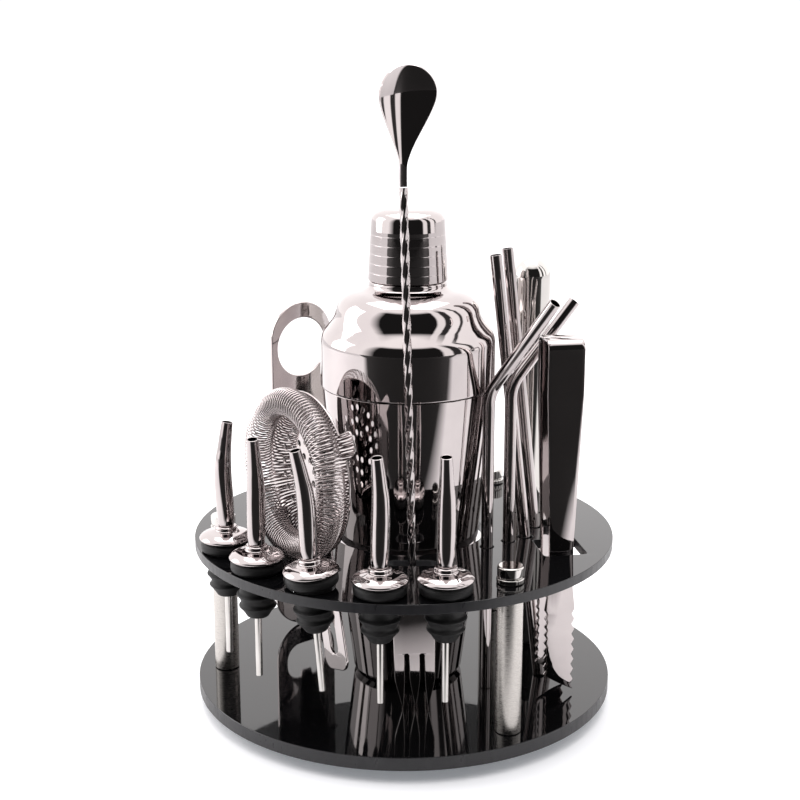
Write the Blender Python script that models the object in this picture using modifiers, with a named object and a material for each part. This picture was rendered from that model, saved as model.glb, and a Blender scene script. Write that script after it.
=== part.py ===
"""Cocktail shaker set on a two-tier acrylic stand.

Two round plates are held apart by three posts. The shaker, spoon, pourers, strainer, opener, muddler,
tongs and straws stand in cut-outs of the upper plate, and each one lifts out along its own axis.
+Z is up, the front is -Y, and the ground is z = 0. Heights called "above the lower plate" start at
the lower plate's top face.
"""

import math

import bmesh
import bpy
from mathutils import Matrix, Vector

MM = 0.001
GAP = 0.3 * MM

# Stand
PLATE_RADIUS = 108.5 * MM
FOOT_HEIGHT = 6.6 * MM
LOWER_THICKNESS = 6.8 * MM
UPPER_THICKNESS = 5.0 * MM
POST_RADIUS = 6.35 * MM
POST_CIRCLE = 94 * MM
POST_ANGLES = {"left": 182.3, "right": 302.3, "back": 57.5}
CAP_HEIGHT = 8.5 * MM
CAP_STUD_RADIUS = 2.5 * MM
FOOT_RADIUS = 4.5 * MM
FOOT_STUD_RADIUS = 2.0 * MM
STUD_CLEARANCE = 0.3 * MM
STUD_LENGTH_IN_POST = 8 * MM
LOWER_TOP = FOOT_HEIGHT + LOWER_THICKNESS
UPPER_TOP = LOWER_TOP + 76.5 * MM
UPPER_BOTTOM = UPPER_TOP - UPPER_THICKNESS

# Shaker
SHAKER_X = 2.0 * MM
SHAKER_Y = -3 * MM
SHAKER_HOLE_RADIUS = 39.5 * MM
SHEET = 0.9 * MM
SEAM_HEIGHT = 155 * MM
LID_STEP_HEIGHT = 208.2 * MM
STRAINER_HOLE_RADIUS = 1.6 * MM
STRAINER_HOLE_CIRCLE = 9 * MM
STRAINER_HOLES = 6

# Bar spoon, leaning back and to the left
SPOON_FOOT = (5.8 * MM, -55.5 * MM)
SPOON_LEAN = Vector((-7.5, 8.0, 312))
SPOON_STEM_SIDE = 3.5 * MM
SPOON_STEM_START = 62 * MM
SPOON_STEM_END = 258 * MM
SPOON_TWIST_PITCH = 42 * MM
SPOON_LENGTH = 315 * MM
BOWL_HALF_WIDTH = 13.9 * MM
BOWL_SHIFT = 3.2 * MM
BOWL_DEPTH = 4.2 * MM
BOWL_YAW = 16
NECK_SHARE = 0.18
WIDE_SHARE = 0.74
NECK_HALF_WIDTH = 1.7 * MM
FORK_HALF_WIDTH = 10.3 * MM
FORK_THICKNESS = 1.6 * MM
TINE_LENGTH = 28 * MM
TINE_SLOT = 2.3 * MM
SPOON_SLOT = (25 * MM, 8 * MM)

# Liquor pourers
POURER_CIRCLE = 95.4 * MM
POURER_ANGLES = (201.4, 221.8, 243.0, 263.2, 281.7)
POURER_LEAN_DIRECTIONS = (20.0, 255.0, 200.0, 235.0, 262.0)
POURER_TILTS = (0, 0, 4.5, 0, 0)
POURER_TILT_DIRECTION = 195
POURER_HOLE_RADIUS = 10.9 * MM
COLLAR_RADIUS = 13.7 * MM
STOPPER_BORE = 3.9 * MM
VENT_RADIUS = 1.7 * MM
VENT_LENGTH = 39 * MM
VENT_BOTTOM = -54.5 * MM

# Hawthorne strainer
STRAINER_CENTRE = (-47.3 * MM, -44.8 * MM, 120.0 * MM)
STRAINER_YAW = -57
STRAINER_LEAN = -15
COIL_RING_RADIUS = 36 * MM
COIL_RADIUS = 7.2 * MM
DISC_RADIUS = 40.5 * MM
DISC_THICKNESS = 1.0 * MM
EAR_RADIUS = 51.5 * MM
EAR_ANGLES = (16, 164)
EAR_HALF_WIDTH = 6.5 * MM
HANDLE_HALF_WIDTH = 10.5 * MM
HANDLE_THICKNESS = 1.6 * MM
HANDLE_START = 24 * MM
HANDLE_END = 98 * MM
STRAINER_SLOT = (27 * MM, 7 * MM)

# Bottle opener, a flat bar blade
OPENER_PLACE = (-56 * MM, 58 * MM)
OPENER_YAW = 40
OPENER_WIDTH = 40 * MM
OPENER_LENGTH = 185 * MM
OPENER_THICKNESS = 2 * MM
FINGER_HOLE_RADIUS = 16 * MM
FINGER_HOLE_FROM_TOP = 24.5 * MM
LIFTER_WIDTH = 27 * MM
LIFTER_HEIGHT = 21 * MM
LIFTER_FROM_BOTTOM = 22.5 * MM
OPENER_SLOT = (43 * MM, 5 * MM)

# Muddler
MUDDLER_PLACE = (67 * MM, 32 * MM)
MUDDLER_RADIUS = 9.8 * MM
MUDDLER_LENGTH = 214 * MM
MUDDLER_HEAD = 32 * MM
MUDDLER_HOLE_RADIUS = 10.7 * MM

# Ice tongs
TONGS_PLACE = (77.0 * MM, -30 * MM)
TONGS_YAW = 10
TONGS_HALF_GAP = 9.5 * MM
TONGS_THICKNESS = 1.2 * MM
TONGS_TOP = 184 * MM
TONGS_BOW_START = 158 * MM
TONGS_FOOT = 2 * MM
TONGS_BEND = 4 * MM
TONGS_HALF_WIDTH_TOP = 9.2 * MM
TONGS_HALF_WIDTH_WAIST = 6.1 * MM
TONGS_HALF_WIDTH_CLAW = 7.9 * MM
TONGS_WAIST_HEIGHT = 80 * MM
CLAW_TOP = 46 * MM
CLAW_TEETH = 8
CLAW_PITCH = 4.7 * MM
CLAW_TOOTH = 1.3 * MM
TONGS_CUTOUT = (22 * MM, 25 * MM)
TONGS_CUTOUT_SHIFT = 1.5 * MM

# Drinking straws
STRAW_RADIUS = 3.0 * MM
STRAW_WALL = 0.45 * MM
STRAW_HOLE_RADIUS = 3.6 * MM
LEANING_HOLE_RADIUS = 4.0 * MM
STRAW_FOOT = 0.5 * MM
BENT_STRAWS = {
    "bent_straw_left": ((41.8 * MM, -29.9 * MM), 156 * MM, (29.4 * MM, -20 * MM, 205 * MM)),
    "bent_straw_right": ((53.2 * MM, -21.2 * MM), 158 * MM, (31.8 * MM, 13.5 * MM, 198 * MM)),
}
STRAIGHT_STRAWS = {
    "straight_straw_front": ((62.3 * MM, -14.3 * MM), (-0.117, 0.0)),
    "straight_straw_back": ((68.5 * MM, 2 * MM), (-0.110, 0.03)),
}
STRAIGHT_STRAW_LENGTH = 223 * MM
ELBOW_RADIUS = 14 * MM

# Facets round a full turn
SMALL_TURN = 12
MEDIUM_TURN = 16
LARGE_TURN = 28


# ---------------------------------------------------------------- scene and materials

def clear_scene():
    for thing in list(bpy.data.objects):
        bpy.data.objects.remove(thing, do_unlink=True)


def new_collection(name):
    group = bpy.data.collections.new(name)
    bpy.context.scene.collection.children.link(group)
    return group


def metal(name, colour, roughness):
    return principled(name, colour, roughness, 1.0)


def principled(name, colour, roughness, metallic):
    made = bpy.data.materials.new(name)
    made.use_nodes = True
    shader = made.node_tree.nodes["Principled BSDF"]
    shader.inputs["Base Color"].default_value = (*colour, 1.0)
    shader.inputs["Roughness"].default_value = roughness
    shader.inputs["Metallic"].default_value = metallic
    return made


def add(name, data, finish, place):
    data.materials.append(finish)
    thing = bpy.data.objects.new(name, data)
    thing.matrix_world = place
    PARTS.objects.link(thing)
    return thing


# ---------------------------------------------------------------- shapes

def at(x, y, above_plate=0.0):
    return Matrix.Translation((x, y, LOWER_TOP + above_plate))


def turn(degrees, axis):
    return Matrix.Rotation(math.radians(degrees), 4, axis)


def on_circle(radius, degrees):
    angle = math.radians(degrees)
    return radius * math.cos(angle), radius * math.sin(angle)


def along(direction):
    """Rotation that takes +Z to the direction and keeps +X near the world's +X."""
    up = Vector(direction).normalized()
    back = up.cross(Vector((1, 0, 0))).normalized()
    right = back.cross(up)
    return Matrix((right, back, up)).transposed().to_4x4()


def turned(name, profile, steps, finish, place, ring=False):
    """Solid of revolution. The profile is (radius, height) points, down its outer side."""
    mesh = bpy.data.meshes.new(name)
    points = [(radius, 0, height) for radius, height in profile]
    edges = [(i, i + 1) for i in range(len(points) - 1)]
    if ring:
        edges.append((len(points) - 1, 0))
    mesh.from_pydata(points, edges, [])
    thing = add(name, mesh, finish, place)
    screw = thing.modifiers.new("turn", "SCREW")
    screw.steps = steps
    screw.render_steps = steps
    screw.use_merge_vertices = True
    screw.merge_threshold = 0.00001
    screw.use_smooth_shade = True
    return thing


def rounded_box(width, height, corner, points_per_corner=4, centre=(0, 0), yaw=0):
    """Outline of a rectangle with round corners, anticlockwise. A full round end makes a slot or a circle."""
    outline = []
    facing = turn(yaw, "Z")
    for quarter, (sx, sy) in enumerate(((1, 1), (-1, 1), (-1, -1), (1, -1))):
        cx = sx * (width / 2 - corner)
        cy = sy * (height / 2 - corner)
        for i in range(points_per_corner + 1):
            x, y = on_circle(corner, 90 * (quarter + i / points_per_corner))
            outline.append(facing @ Vector((cx + x, cy + y, 0)) + Vector((*centre, 0)))
    return drop_repeats(outline)


def circle(radius, points, centre=(0, 0)):
    return [Vector((*on_circle(radius, 360 * i / points), 0)) + Vector((*centre, 0)) for i in range(points)]


def drop_repeats(outline):
    kept = []
    for point in outline:
        if not kept or (point - kept[-1]).length > 0.01 * MM:
            kept.append(point)
    if (kept[0] - kept[-1]).length < 0.01 * MM:
        kept.pop()
    return kept


def flat(name, outlines, thickness, finish, place):
    """Flat piece with holes: the first outline is the edge, the others are cut-outs."""
    curve = bpy.data.curves.new(name, "CURVE")
    curve.dimensions = "2D"
    curve.fill_mode = "BOTH"
    curve.extrude = thickness / 2
    for outline in outlines:
        spline = curve.splines.new("POLY")
        spline.points.add(len(outline) - 1)
        for point, corner in zip(spline.points, outline):
            point.co = (corner.x, corner.y, 0, 1)
        spline.use_cyclic_u = True
    return add(name, curve, finish, place)


def tube(name, route, radii, sides, finish, place, hollow=0.0):
    """Round bar along a route, or with a wall thickness an open pipe."""
    curve = bpy.data.curves.new(name, "CURVE")
    curve.dimensions = "3D"
    curve.bevel_depth = 1.0
    curve.bevel_resolution = sides // 2 - 2
    curve.use_fill_caps = not hollow
    spline = curve.splines.new("POLY")
    spline.points.add(len(route) - 1)
    for point, where, radius in zip(spline.points, route, radii):
        point.co = (*where, 1)
        point.radius = radius
    thing = add(name, curve, finish, place)
    if hollow:
        wall = thing.modifiers.new("wall", "SOLIDIFY")
        wall.thickness = hollow
        wall.offset = -1
    return thing


def bent_route(start, corner, end, bend_radius, pieces):
    """Straight, arc, straight: the corner is rounded with the bend radius."""
    start, corner, end = Vector(start), Vector(corner), Vector(end)
    into = (corner - start).normalized()
    out = (end - corner).normalized()
    bend = into.angle(out)
    first = corner - into * bend_radius * math.tan(bend / 2)
    middle = corner + (out - into).normalized() * bend_radius / math.cos(bend / 2)
    arc = [middle + Matrix.Rotation(bend * i / pieces, 3, into.cross(out)) @ (first - middle)
           for i in range(pieces + 1)]
    return [start, *arc, end]


# ---------------------------------------------------------------- stand

def post_places():
    return {side: on_circle(POST_CIRCLE, angle) for side, angle in POST_ANGLES.items()}


def lower_plate():
    outlines = [circle(PLATE_RADIUS, 64)]
    for centre in post_places().values():
        outlines.append(circle(FOOT_STUD_RADIUS + STUD_CLEARANCE, 10, centre))
    flat("lower_plate", outlines, LOWER_THICKNESS, ACRYLIC, at(0, 0, -LOWER_THICKNESS / 2))


def upper_plate():
    outlines = [circle(PLATE_RADIUS, 64)]
    for centre in post_places().values():
        outlines.append(circle(CAP_STUD_RADIUS + STUD_CLEARANCE, 10, centre))
    outlines.append(circle(SHAKER_HOLE_RADIUS, 32, (SHAKER_X, SHAKER_Y)))
    for angle in POURER_ANGLES:
        outlines.append(circle(POURER_HOLE_RADIUS, 16, on_circle(POURER_CIRCLE, angle)))
    outlines.append(circle(MUDDLER_HOLE_RADIUS, 16, MUDDLER_PLACE))
    for foot, _, _ in BENT_STRAWS.values():
        outlines.append(circle(STRAW_HOLE_RADIUS, 12, foot))
    for centre, _ in STRAIGHT_STRAWS.values():
        outlines.append(circle(LEANING_HOLE_RADIUS, 12, centre))
    outlines.append(slot(SPOON_SLOT, spoon_at_plate(), 0))
    outlines.append(slot(STRAINER_SLOT, strainer_at_plate(), STRAINER_YAW))
    outlines.append(slot(OPENER_SLOT, OPENER_PLACE, OPENER_YAW))
    cutout_centre = (TONGS_PLACE[0] + TONGS_CUTOUT_SHIFT, TONGS_PLACE[1])
    outlines.append(rounded_box(*TONGS_CUTOUT, 2 * MM, 2, cutout_centre, TONGS_YAW))
    flat("upper_plate", outlines, UPPER_THICKNESS, ACRYLIC, at(0, 0, UPPER_TOP - LOWER_TOP - UPPER_THICKNESS / 2))


def slot(size, centre, yaw):
    length, width = size
    return rounded_box(length, width, width / 2, 3, centre, yaw)


def spoon_at_plate():
    run = (UPPER_TOP - LOWER_TOP - UPPER_THICKNESS / 2) / SPOON_LEAN.z
    return SPOON_FOOT[0] + run * SPOON_LEAN.x, SPOON_FOOT[1] + run * SPOON_LEAN.y


def strainer_at_plate():
    drop = STRAINER_CENTRE[2] - (UPPER_TOP - LOWER_TOP - UPPER_THICKNESS / 2)
    side = drop * math.tan(math.radians(-STRAINER_LEAN))
    behind = DISC_THICKNESS / 2 + GAP + HANDLE_THICKNESS / 2
    offset = turn(STRAINER_YAW, "Z") @ Vector((side, behind, 0))
    return STRAINER_CENTRE[0] + offset.x, STRAINER_CENTRE[1] + offset.y


def posts():
    height = UPPER_BOTTOM - LOWER_TOP
    bore = STUD_LENGTH_IN_POST + 1 * MM
    top = height - GAP
    upper_bore = CAP_STUD_RADIUS + STUD_CLEARANCE
    lower_bore = FOOT_STUD_RADIUS + STUD_CLEARANCE
    profile = [
        (0, top - bore), (upper_bore, top - bore), (upper_bore, top), (POST_RADIUS, top),
        (POST_RADIUS, GAP), (lower_bore, GAP), (lower_bore, bore), (0, bore),
    ]
    for side, (x, y) in post_places().items():
        turned(f"post_{side}", profile, MEDIUM_TURN, BRUSHED_STEEL, at(x, y))


def post_caps():
    bottom = GAP
    top = CAP_HEIGHT
    stud_end = -UPPER_THICKNESS - STUD_LENGTH_IN_POST
    profile = [
        (0, top), (POST_RADIUS - 0.8 * MM, top), (POST_RADIUS, top - 0.8 * MM), (POST_RADIUS, 3.6 * MM),
        (POST_RADIUS - 0.6 * MM, 3.1 * MM), (POST_RADIUS + 0.3 * MM, 2.6 * MM), (POST_RADIUS + 0.3 * MM, bottom),
        (CAP_STUD_RADIUS, bottom), (CAP_STUD_RADIUS, stud_end), (0, stud_end),
    ]
    for side, (x, y) in post_places().items():
        turned(f"post_cap_{side}", profile, MEDIUM_TURN, POLISHED_STEEL, at(x, y, UPPER_TOP - LOWER_TOP))


def feet():
    top = -LOWER_THICKNESS - GAP
    floor = -LOWER_TOP
    profile = [
        (0, STUD_LENGTH_IN_POST), (FOOT_STUD_RADIUS, STUD_LENGTH_IN_POST), (FOOT_STUD_RADIUS, top),
        (FOOT_RADIUS, top), (FOOT_RADIUS, floor + 2.6 * MM), (FOOT_RADIUS * 0.9, floor + 1.0 * MM),
        (FOOT_RADIUS * 0.6, floor), (0, floor),
    ]
    for side, (x, y) in post_places().items():
        turned(f"foot_{side}", profile, SMALL_TURN, POLISHED_STEEL, at(x, y))


# ---------------------------------------------------------------- shaker

def cup_outer_radius(height):
    """The cup widens upwards in a slightly convex taper."""
    share = height / SEAM_HEIGHT
    return (28.0 + 20.0 * share - 4.4 * share * share) * MM


def shaker_cup():
    rim = SEAM_HEIGHT - GAP
    heights = [rim * (1 - i / 6) for i in range(6)]
    outer = [(cup_outer_radius(h), h) for h in heights]
    inner = [(cup_outer_radius(h) - SHEET, h) for h in reversed(heights)]
    base = [(cup_outer_radius(3 * MM), 3 * MM), (25.5 * MM, GAP), (0, GAP)]
    hollow = [(0, 1.4 * MM), (25 * MM, 1.4 * MM), (cup_outer_radius(4 * MM) - SHEET, 4 * MM)]
    profile = hollow + inner + outer + base
    turned("shaker_cup", profile, LARGE_TURN, GUNMETAL, at(SHAKER_X, SHAKER_Y))


def shaker_lid():
    """Domed lid under the cap, in four parts stacked with small gaps, so that each one is a plain ring or disc."""
    skirt = [
        (44.3, 178.5), (44.2, 155.1), (42.2, 155.0), (41.3, 141),
        (40.6, 141), (41.2, 154), (43.2, 156.5), (43.3, 178.5),
    ]
    shoulder = [
        (28.5, 202.3), (33.2, 199.6), (35.8, 195.6), (36.8, 190.7), (38.2, 188), (40.6, 184.8), (43.2, 181.9),
        (44.3, 178.8), (43.3, 178.8), (42.3, 181.2), (39.8, 184), (37.3, 187.3), (35.9, 190.5), (34.9, 195.2),
        (32.6, 198.6), (28.2, 201.2),
    ]
    neck = [
        (16.6, 224), (16.6, 208.6), (19.6, 208.2), (19.6, 205.2), (22.5, 203.8), (28.2, 202.5), (27.9, 201.4),
        (20, 202.6), (15.8, 204.4), (15.8, 224),
    ]
    for name, profile in (("skirt", skirt), ("shoulder", shoulder), ("neck", neck)):
        ring = [(r * MM, h * MM) for r, h in profile]
        turned(f"shaker_lid_{name}", ring, LARGE_TURN, GUNMETAL, at(SHAKER_X, SHAKER_Y), ring=True)
    disc = [(0, 205.4), (15.5, 205.4), (15.5, 204.4), (0, 204.4)]
    profile = [(r * MM, h * MM) for r, h in disc]
    sieve = turned("shaker_lid_sieve", profile, LARGE_TURN, GUNMETAL, at(SHAKER_X, SHAKER_Y))
    cut = sieve.modifiers.new("sieve_holes", "BOOLEAN")
    cut.operation = "DIFFERENCE"
    cut.object = sieve_cutter()


def sieve_cutter():
    shape = bmesh.new()
    places = [(0, 0)]
    for i in range(STRAINER_HOLES):
        places.append(on_circle(STRAINER_HOLE_CIRCLE, 360 * i / STRAINER_HOLES))
    for x, y in places:
        centre = Matrix.Translation((x, y, 205 * MM))
        bmesh.ops.create_cone(shape, cap_ends=True, segments=8, radius1=STRAINER_HOLE_RADIUS,
                              radius2=STRAINER_HOLE_RADIUS, depth=4 * MM, matrix=centre)
    mesh = bpy.data.meshes.new("sieve_cutter")
    shape.to_mesh(mesh)
    shape.free()
    cutter = bpy.data.objects.new("sieve_cutter", mesh)
    cutter.matrix_world = at(SHAKER_X, SHAKER_Y)
    cutter.hide_render = True
    cutter.display_type = "WIRE"
    CUTTERS.objects.link(cutter)
    return cutter


def shaker_cap():
    """Cap with a low domed crown, open at the bottom."""
    outer = [(0, 244.6), (9, 244.2), (14.2, 242.9), (17.2, 240.6), (18.4, 238), (18.7, 234), (20.2, 208.5)]
    inner = [(18.9, 208.5), (17.5, 234), (16.2, 239), (13.4, 241.4), (8.6, 243), (0, 243.5)]
    profile = [(r * MM, h * MM) for r, h in outer + inner]
    turned("shaker_cap", profile, LARGE_TURN, GUNMETAL, at(SHAKER_X, SHAKER_Y))


# ---------------------------------------------------------------- bar spoon

def spoon_place():
    return at(*SPOON_FOOT, 1.5 * MM) @ along(SPOON_LEAN)


def spoon_stem():
    length = SPOON_STEM_END - SPOON_STEM_START
    rings = round(length / (SPOON_TWIST_PITCH / 8))
    shape = bmesh.new()
    radius = SPOON_STEM_SIDE / math.sqrt(2)
    bmesh.ops.create_cone(shape, cap_ends=True, segments=4, radius1=radius, radius2=radius, depth=length)
    upright = [e for e in shape.edges if abs(e.verts[0].co.z - e.verts[1].co.z) > length / 2]
    bmesh.ops.subdivide_edges(shape, edges=upright, cuts=rings - 1)
    mesh = bpy.data.meshes.new("spoon_stem")
    shape.to_mesh(mesh)
    shape.free()
    middle = Matrix.Translation((0, 0, (SPOON_STEM_START + SPOON_STEM_END) / 2))
    stem = add("spoon_stem", mesh, GUNMETAL, spoon_place() @ middle)
    twist = stem.modifiers.new("twist", "SIMPLE_DEFORM")
    twist.deform_method = "TWIST"
    twist.deform_axis = "Z"
    twist.angle = 2 * math.pi * length / SPOON_TWIST_PITCH


def bowl_half_width(share):
    """Teardrop: a narrow neck up to NECK_SHARE, widest at WIDE_SHARE, a round tip at 1."""
    if share <= NECK_SHARE:
        return NECK_HALF_WIDTH
    if share < WIDE_SHARE:
        rise = (share - NECK_SHARE) / (WIDE_SHARE - NECK_SHARE)
        swell = 0.5 * rise + 0.5 * rise * rise * (3 - 2 * rise)
        return NECK_HALF_WIDTH + (BOWL_HALF_WIDTH - NECK_HALF_WIDTH) * swell
    past = (share - WIDE_SHARE) / (1 - WIDE_SHARE)
    return max(0.6 * MM, BOWL_HALF_WIDTH * math.sqrt(max(0.0, 1 - past * past)))


def spoon_bowl():
    """Dished sheet with a solid wall. Its hollow faces forwards."""
    rows = 14
    columns = 6
    length = SPOON_LENGTH - SPOON_STEM_END - 1.8 * MM
    shape = bmesh.new()
    grid = []
    for row in range(rows + 1):
        share = row / rows
        half = bowl_half_width(share)
        dish = BOWL_DEPTH * min(1.0, half / BOWL_HALF_WIDTH) ** 1.5
        shift = BOWL_SHIFT * share * share * (3 - 2 * share)
        line = []
        for column in range(columns + 1):
            side = 2 * column / columns - 1
            back = dish * (1 - side * side) - dish / 2
            line.append(shape.verts.new((half * side + shift, back, share * length)))
        grid.append(line)
    for low, high in zip(grid, grid[1:]):
        for i in range(columns):
            shape.faces.new((low[i], low[i + 1], high[i + 1], high[i]))
    mesh = bpy.data.meshes.new("spoon_bowl")
    shape.to_mesh(mesh)
    shape.free()
    base = Matrix.Translation((0, 0, SPOON_STEM_END + GAP))
    bowl = add("spoon_bowl", mesh, GUNMETAL, spoon_place() @ base @ turn(BOWL_YAW, "Z"))
    wall = bowl.modifiers.new("wall", "SOLIDIFY")
    wall.thickness = 1.2 * MM
    wall.offset = 0


def spoon_fork():
    """Three tines, a palm and a tapering neck, cut from one flat strip."""
    wide = FORK_HALF_WIDTH
    tine_pitch = (2 * wide + TINE_SLOT) / 3
    palm = TINE_LENGTH + 18 * MM
    neck = SPOON_STEM_START - GAP
    outline = [Vector((1.8 * MM, neck, 0)), Vector((-1.8 * MM, neck, 0)), Vector((-3 * MM, palm + 6 * MM, 0)),
               Vector((-wide * 0.9, palm, 0)), Vector((-wide, palm - 6 * MM, 0)), Vector((-wide, 16 * MM, 0))]
    for tine in range(3):
        left = -wide + tine * tine_pitch
        right = left + tine_pitch - TINE_SLOT
        tip = (left + right) / 2 + (1 - tine) * 1.2 * MM
        outline.append(Vector((tip - 0.5 * MM, 0, 0)))
        outline.append(Vector((tip + 0.5 * MM, 0, 0)))
        if tine < 2:
            outline.append(Vector((right, TINE_LENGTH, 0)))
            outline.append(Vector((right + TINE_SLOT, TINE_LENGTH, 0)))
    outline += [Vector((wide, 16 * MM, 0)), Vector((wide, palm - 6 * MM, 0)), Vector((wide * 0.9, palm, 0)),
                Vector((3 * MM, palm + 6 * MM, 0))]
    flat("spoon_fork", [outline], FORK_THICKNESS, GUNMETAL, spoon_place() @ turn(90, "X"))


# ---------------------------------------------------------------- pourers

def pourer_place(number):
    """Frame with its origin on the plate's top face and +Z along the pourer."""
    x, y = on_circle(POURER_CIRCLE, POURER_ANGLES[number])
    tilt = POURER_TILTS[number]
    raised = COLLAR_RADIUS * math.sin(math.radians(tilt))
    level = at(x, y, UPPER_TOP - LOWER_TOP + raised)
    return level @ turn(POURER_TILT_DIRECTION, "Z") @ turn(tilt, "Y") @ turn(-POURER_TILT_DIRECTION, "Z")


def pourers():
    for number in range(len(POURER_ANGLES)):
        place = pourer_place(number)
        pourer_stopper(f"pourer_{number + 1}_stopper", place)
        pourer_collar(f"pourer_{number + 1}_collar", place)
        pourer_spout(f"pourer_{number + 1}_spout", place @ turn(POURER_LEAN_DIRECTIONS[number], "Z"))
        pourer_vent(f"pourer_{number + 1}_vent_tube", place)


def pourer_stopper(name, place):
    """Rubber stopper: a seat on the plate, two fins below it, and bores for the collar and vent tube."""
    profile = [
        (0, -8.5), (3.9, -8.5), (3.9, 5.6), (11.6, 5.6), (12.8, 4.2), (12.8, 1.6), (12.0, 0.4), (9.2, 0.3),
        (8.6, -8.6), (10.4, -11.4), (8.6, -14.6), (7.8, -15.4), (9.4, -17.4), (7.0, -20.6), (5.2, -23.2),
        (2.1, -23.2), (2.1, -14), (0, -14),
    ]
    turned(name, [(r * MM, h * MM) for r, h in profile], MEDIUM_TURN, RUBBER, place)


def pourer_collar(name, place):
    """Domed metal collar with a stem that seats in the stopper."""
    profile = [
        (0, 13.2), (5.0, 13.2), (5.7, 12.4), (5.4, 11.0), (9.8, 9.9), (12.8, 8.4), (13.7, 7.1), (12.8, 6.0),
        (3.6, 5.9), (3.6, -8.0), (0, -8.0),
    ]
    turned(name, [(r * MM, h * MM) for r, h in profile], MEDIUM_TURN, GUNMETAL, place)


def pourer_spout(name, place):
    """Tapered spout that bulges back and leans forwards above its bend."""
    route = [(0, 13.5), (0, 18), (-0.8, 28), (-1.2, 38), (-0.8, 46), (0.2, 52), (2.6, 66.5)]
    radii = [3.9, 4.3, 4.5, 4.4, 4.1, 3.6, 2.8]
    tube(name, [(x * MM, 0, z * MM) for x, z in route], [r * MM for r in radii], 10, GUNMETAL, place)


def pourer_vent(name, place):
    route = [(0, 0, VENT_BOTTOM), (0, 0, VENT_BOTTOM + VENT_LENGTH)]
    tube(name, route, [VENT_RADIUS] * 2, 8, POLISHED_STEEL, place)


# ---------------------------------------------------------------- strainer

def strainer_place():
    x, y, height = STRAINER_CENTRE
    return at(x, y, height) @ turn(STRAINER_YAW, "Z") @ turn(STRAINER_LEAN, "Y")


def strainer_disc():
    """Round disc with two ears and rows of drain holes. It stands upright in its own X-Z plane."""
    edge = []
    ear_half_angle = math.degrees(EAR_HALF_WIDTH / DISC_RADIUS)
    stops = []
    for ear in EAR_ANGLES:
        stops += [(ear - ear_half_angle, DISC_RADIUS), (ear - ear_half_angle * 0.75, EAR_RADIUS - 2 * MM),
                  (ear - ear_half_angle * 0.5, EAR_RADIUS), (ear + ear_half_angle * 0.5, EAR_RADIUS),
                  (ear + ear_half_angle * 0.75, EAR_RADIUS - 2 * MM), (ear + ear_half_angle, DISC_RADIUS)]
    plain = [(a, DISC_RADIUS) for a in range(0, 360, 10)
             if all(abs(a - ear) > ear_half_angle + 2 for ear in EAR_ANGLES)]
    for angle, radius in sorted(stops + plain):
        edge.append(Vector((*on_circle(radius, angle), 0)))
    outlines = [edge]
    for angle in range(0, 360, 45):
        outlines.append(circle(2.2 * MM, 8, on_circle(17 * MM, angle)))
    flat("strainer_disc", outlines, DISC_THICKNESS, GUNMETAL, strainer_place() @ turn(90, "X"))


def strainer_handle():
    """Flat strip on the back of the disc, with an oblong hanging hole near its end."""
    length = HANDLE_END - HANDLE_START
    middle = -(HANDLE_START + HANDLE_END) / 2
    back = DISC_THICKNESS / 2 + GAP + HANDLE_THICKNESS / 2
    outline = rounded_box(2 * HANDLE_HALF_WIDTH, length, 5 * MM, 3)
    hole = rounded_box(7 * MM, 16 * MM, 3.5 * MM, 3, (0, -length / 2 + 16 * MM))
    flat("strainer_handle", [outline, hole], HANDLE_THICKNESS, GUNMETAL,
         strainer_place() @ Matrix.Translation((0, back, middle)) @ turn(90, "X"))


def strainer_spring():
    """The coil's outer shape: a closed ring in front of the disc."""
    bpy.ops.mesh.primitive_torus_add(major_segments=32, minor_segments=8,
                                     major_radius=COIL_RING_RADIUS, minor_radius=COIL_RADIUS)
    ring = bpy.context.object
    ring.name = "strainer_spring"
    ring.data.name = "strainer_spring"
    ring.data.materials.append(GUNMETAL)
    for group in list(ring.users_collection):
        group.objects.unlink(ring)
    PARTS.objects.link(ring)
    front = DISC_THICKNESS / 2 + GAP + COIL_RADIUS
    ring.matrix_world = strainer_place() @ Matrix.Translation((0, -front, 0)) @ turn(90, "X")


# ---------------------------------------------------------------- opener and muddler

def bottle_opener():
    """Bar blade: a finger hole at the top and a cap lifter with one tooth at the bottom."""
    outline = rounded_box(OPENER_WIDTH, OPENER_LENGTH, OPENER_WIDTH / 2 - 0.5 * MM, 8)
    finger_hole = circle(FINGER_HOLE_RADIUS, 28, (0, OPENER_LENGTH / 2 - FINGER_HOLE_FROM_TOP))
    lifter_middle = -OPENER_LENGTH / 2 + LIFTER_FROM_BOTTOM
    lifter = rounded_box(LIFTER_WIDTH, LIFTER_HEIGHT, 9 * MM, 4, (0, lifter_middle))
    tooth_base = lifter_middle + LIFTER_HEIGHT / 2
    tooth = [Vector((4 * MM, tooth_base, 0)), Vector((3 * MM, tooth_base - 4 * MM, 0)),
             Vector((-3 * MM, tooth_base - 4 * MM, 0)), Vector((-4 * MM, tooth_base, 0))]
    top = max(range(len(lifter)), key=lambda i: (lifter[i].y, lifter[i].x))
    lifter = lifter[:top + 1] + tooth + lifter[top + 1:]
    place = at(*OPENER_PLACE, OPENER_LENGTH / 2 + GAP) @ turn(OPENER_YAW, "Z") @ turn(90, "X")
    flat("bottle_opener", [outline, finger_hole, lifter], OPENER_THICKNESS, GUNMETAL, place)


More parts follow.
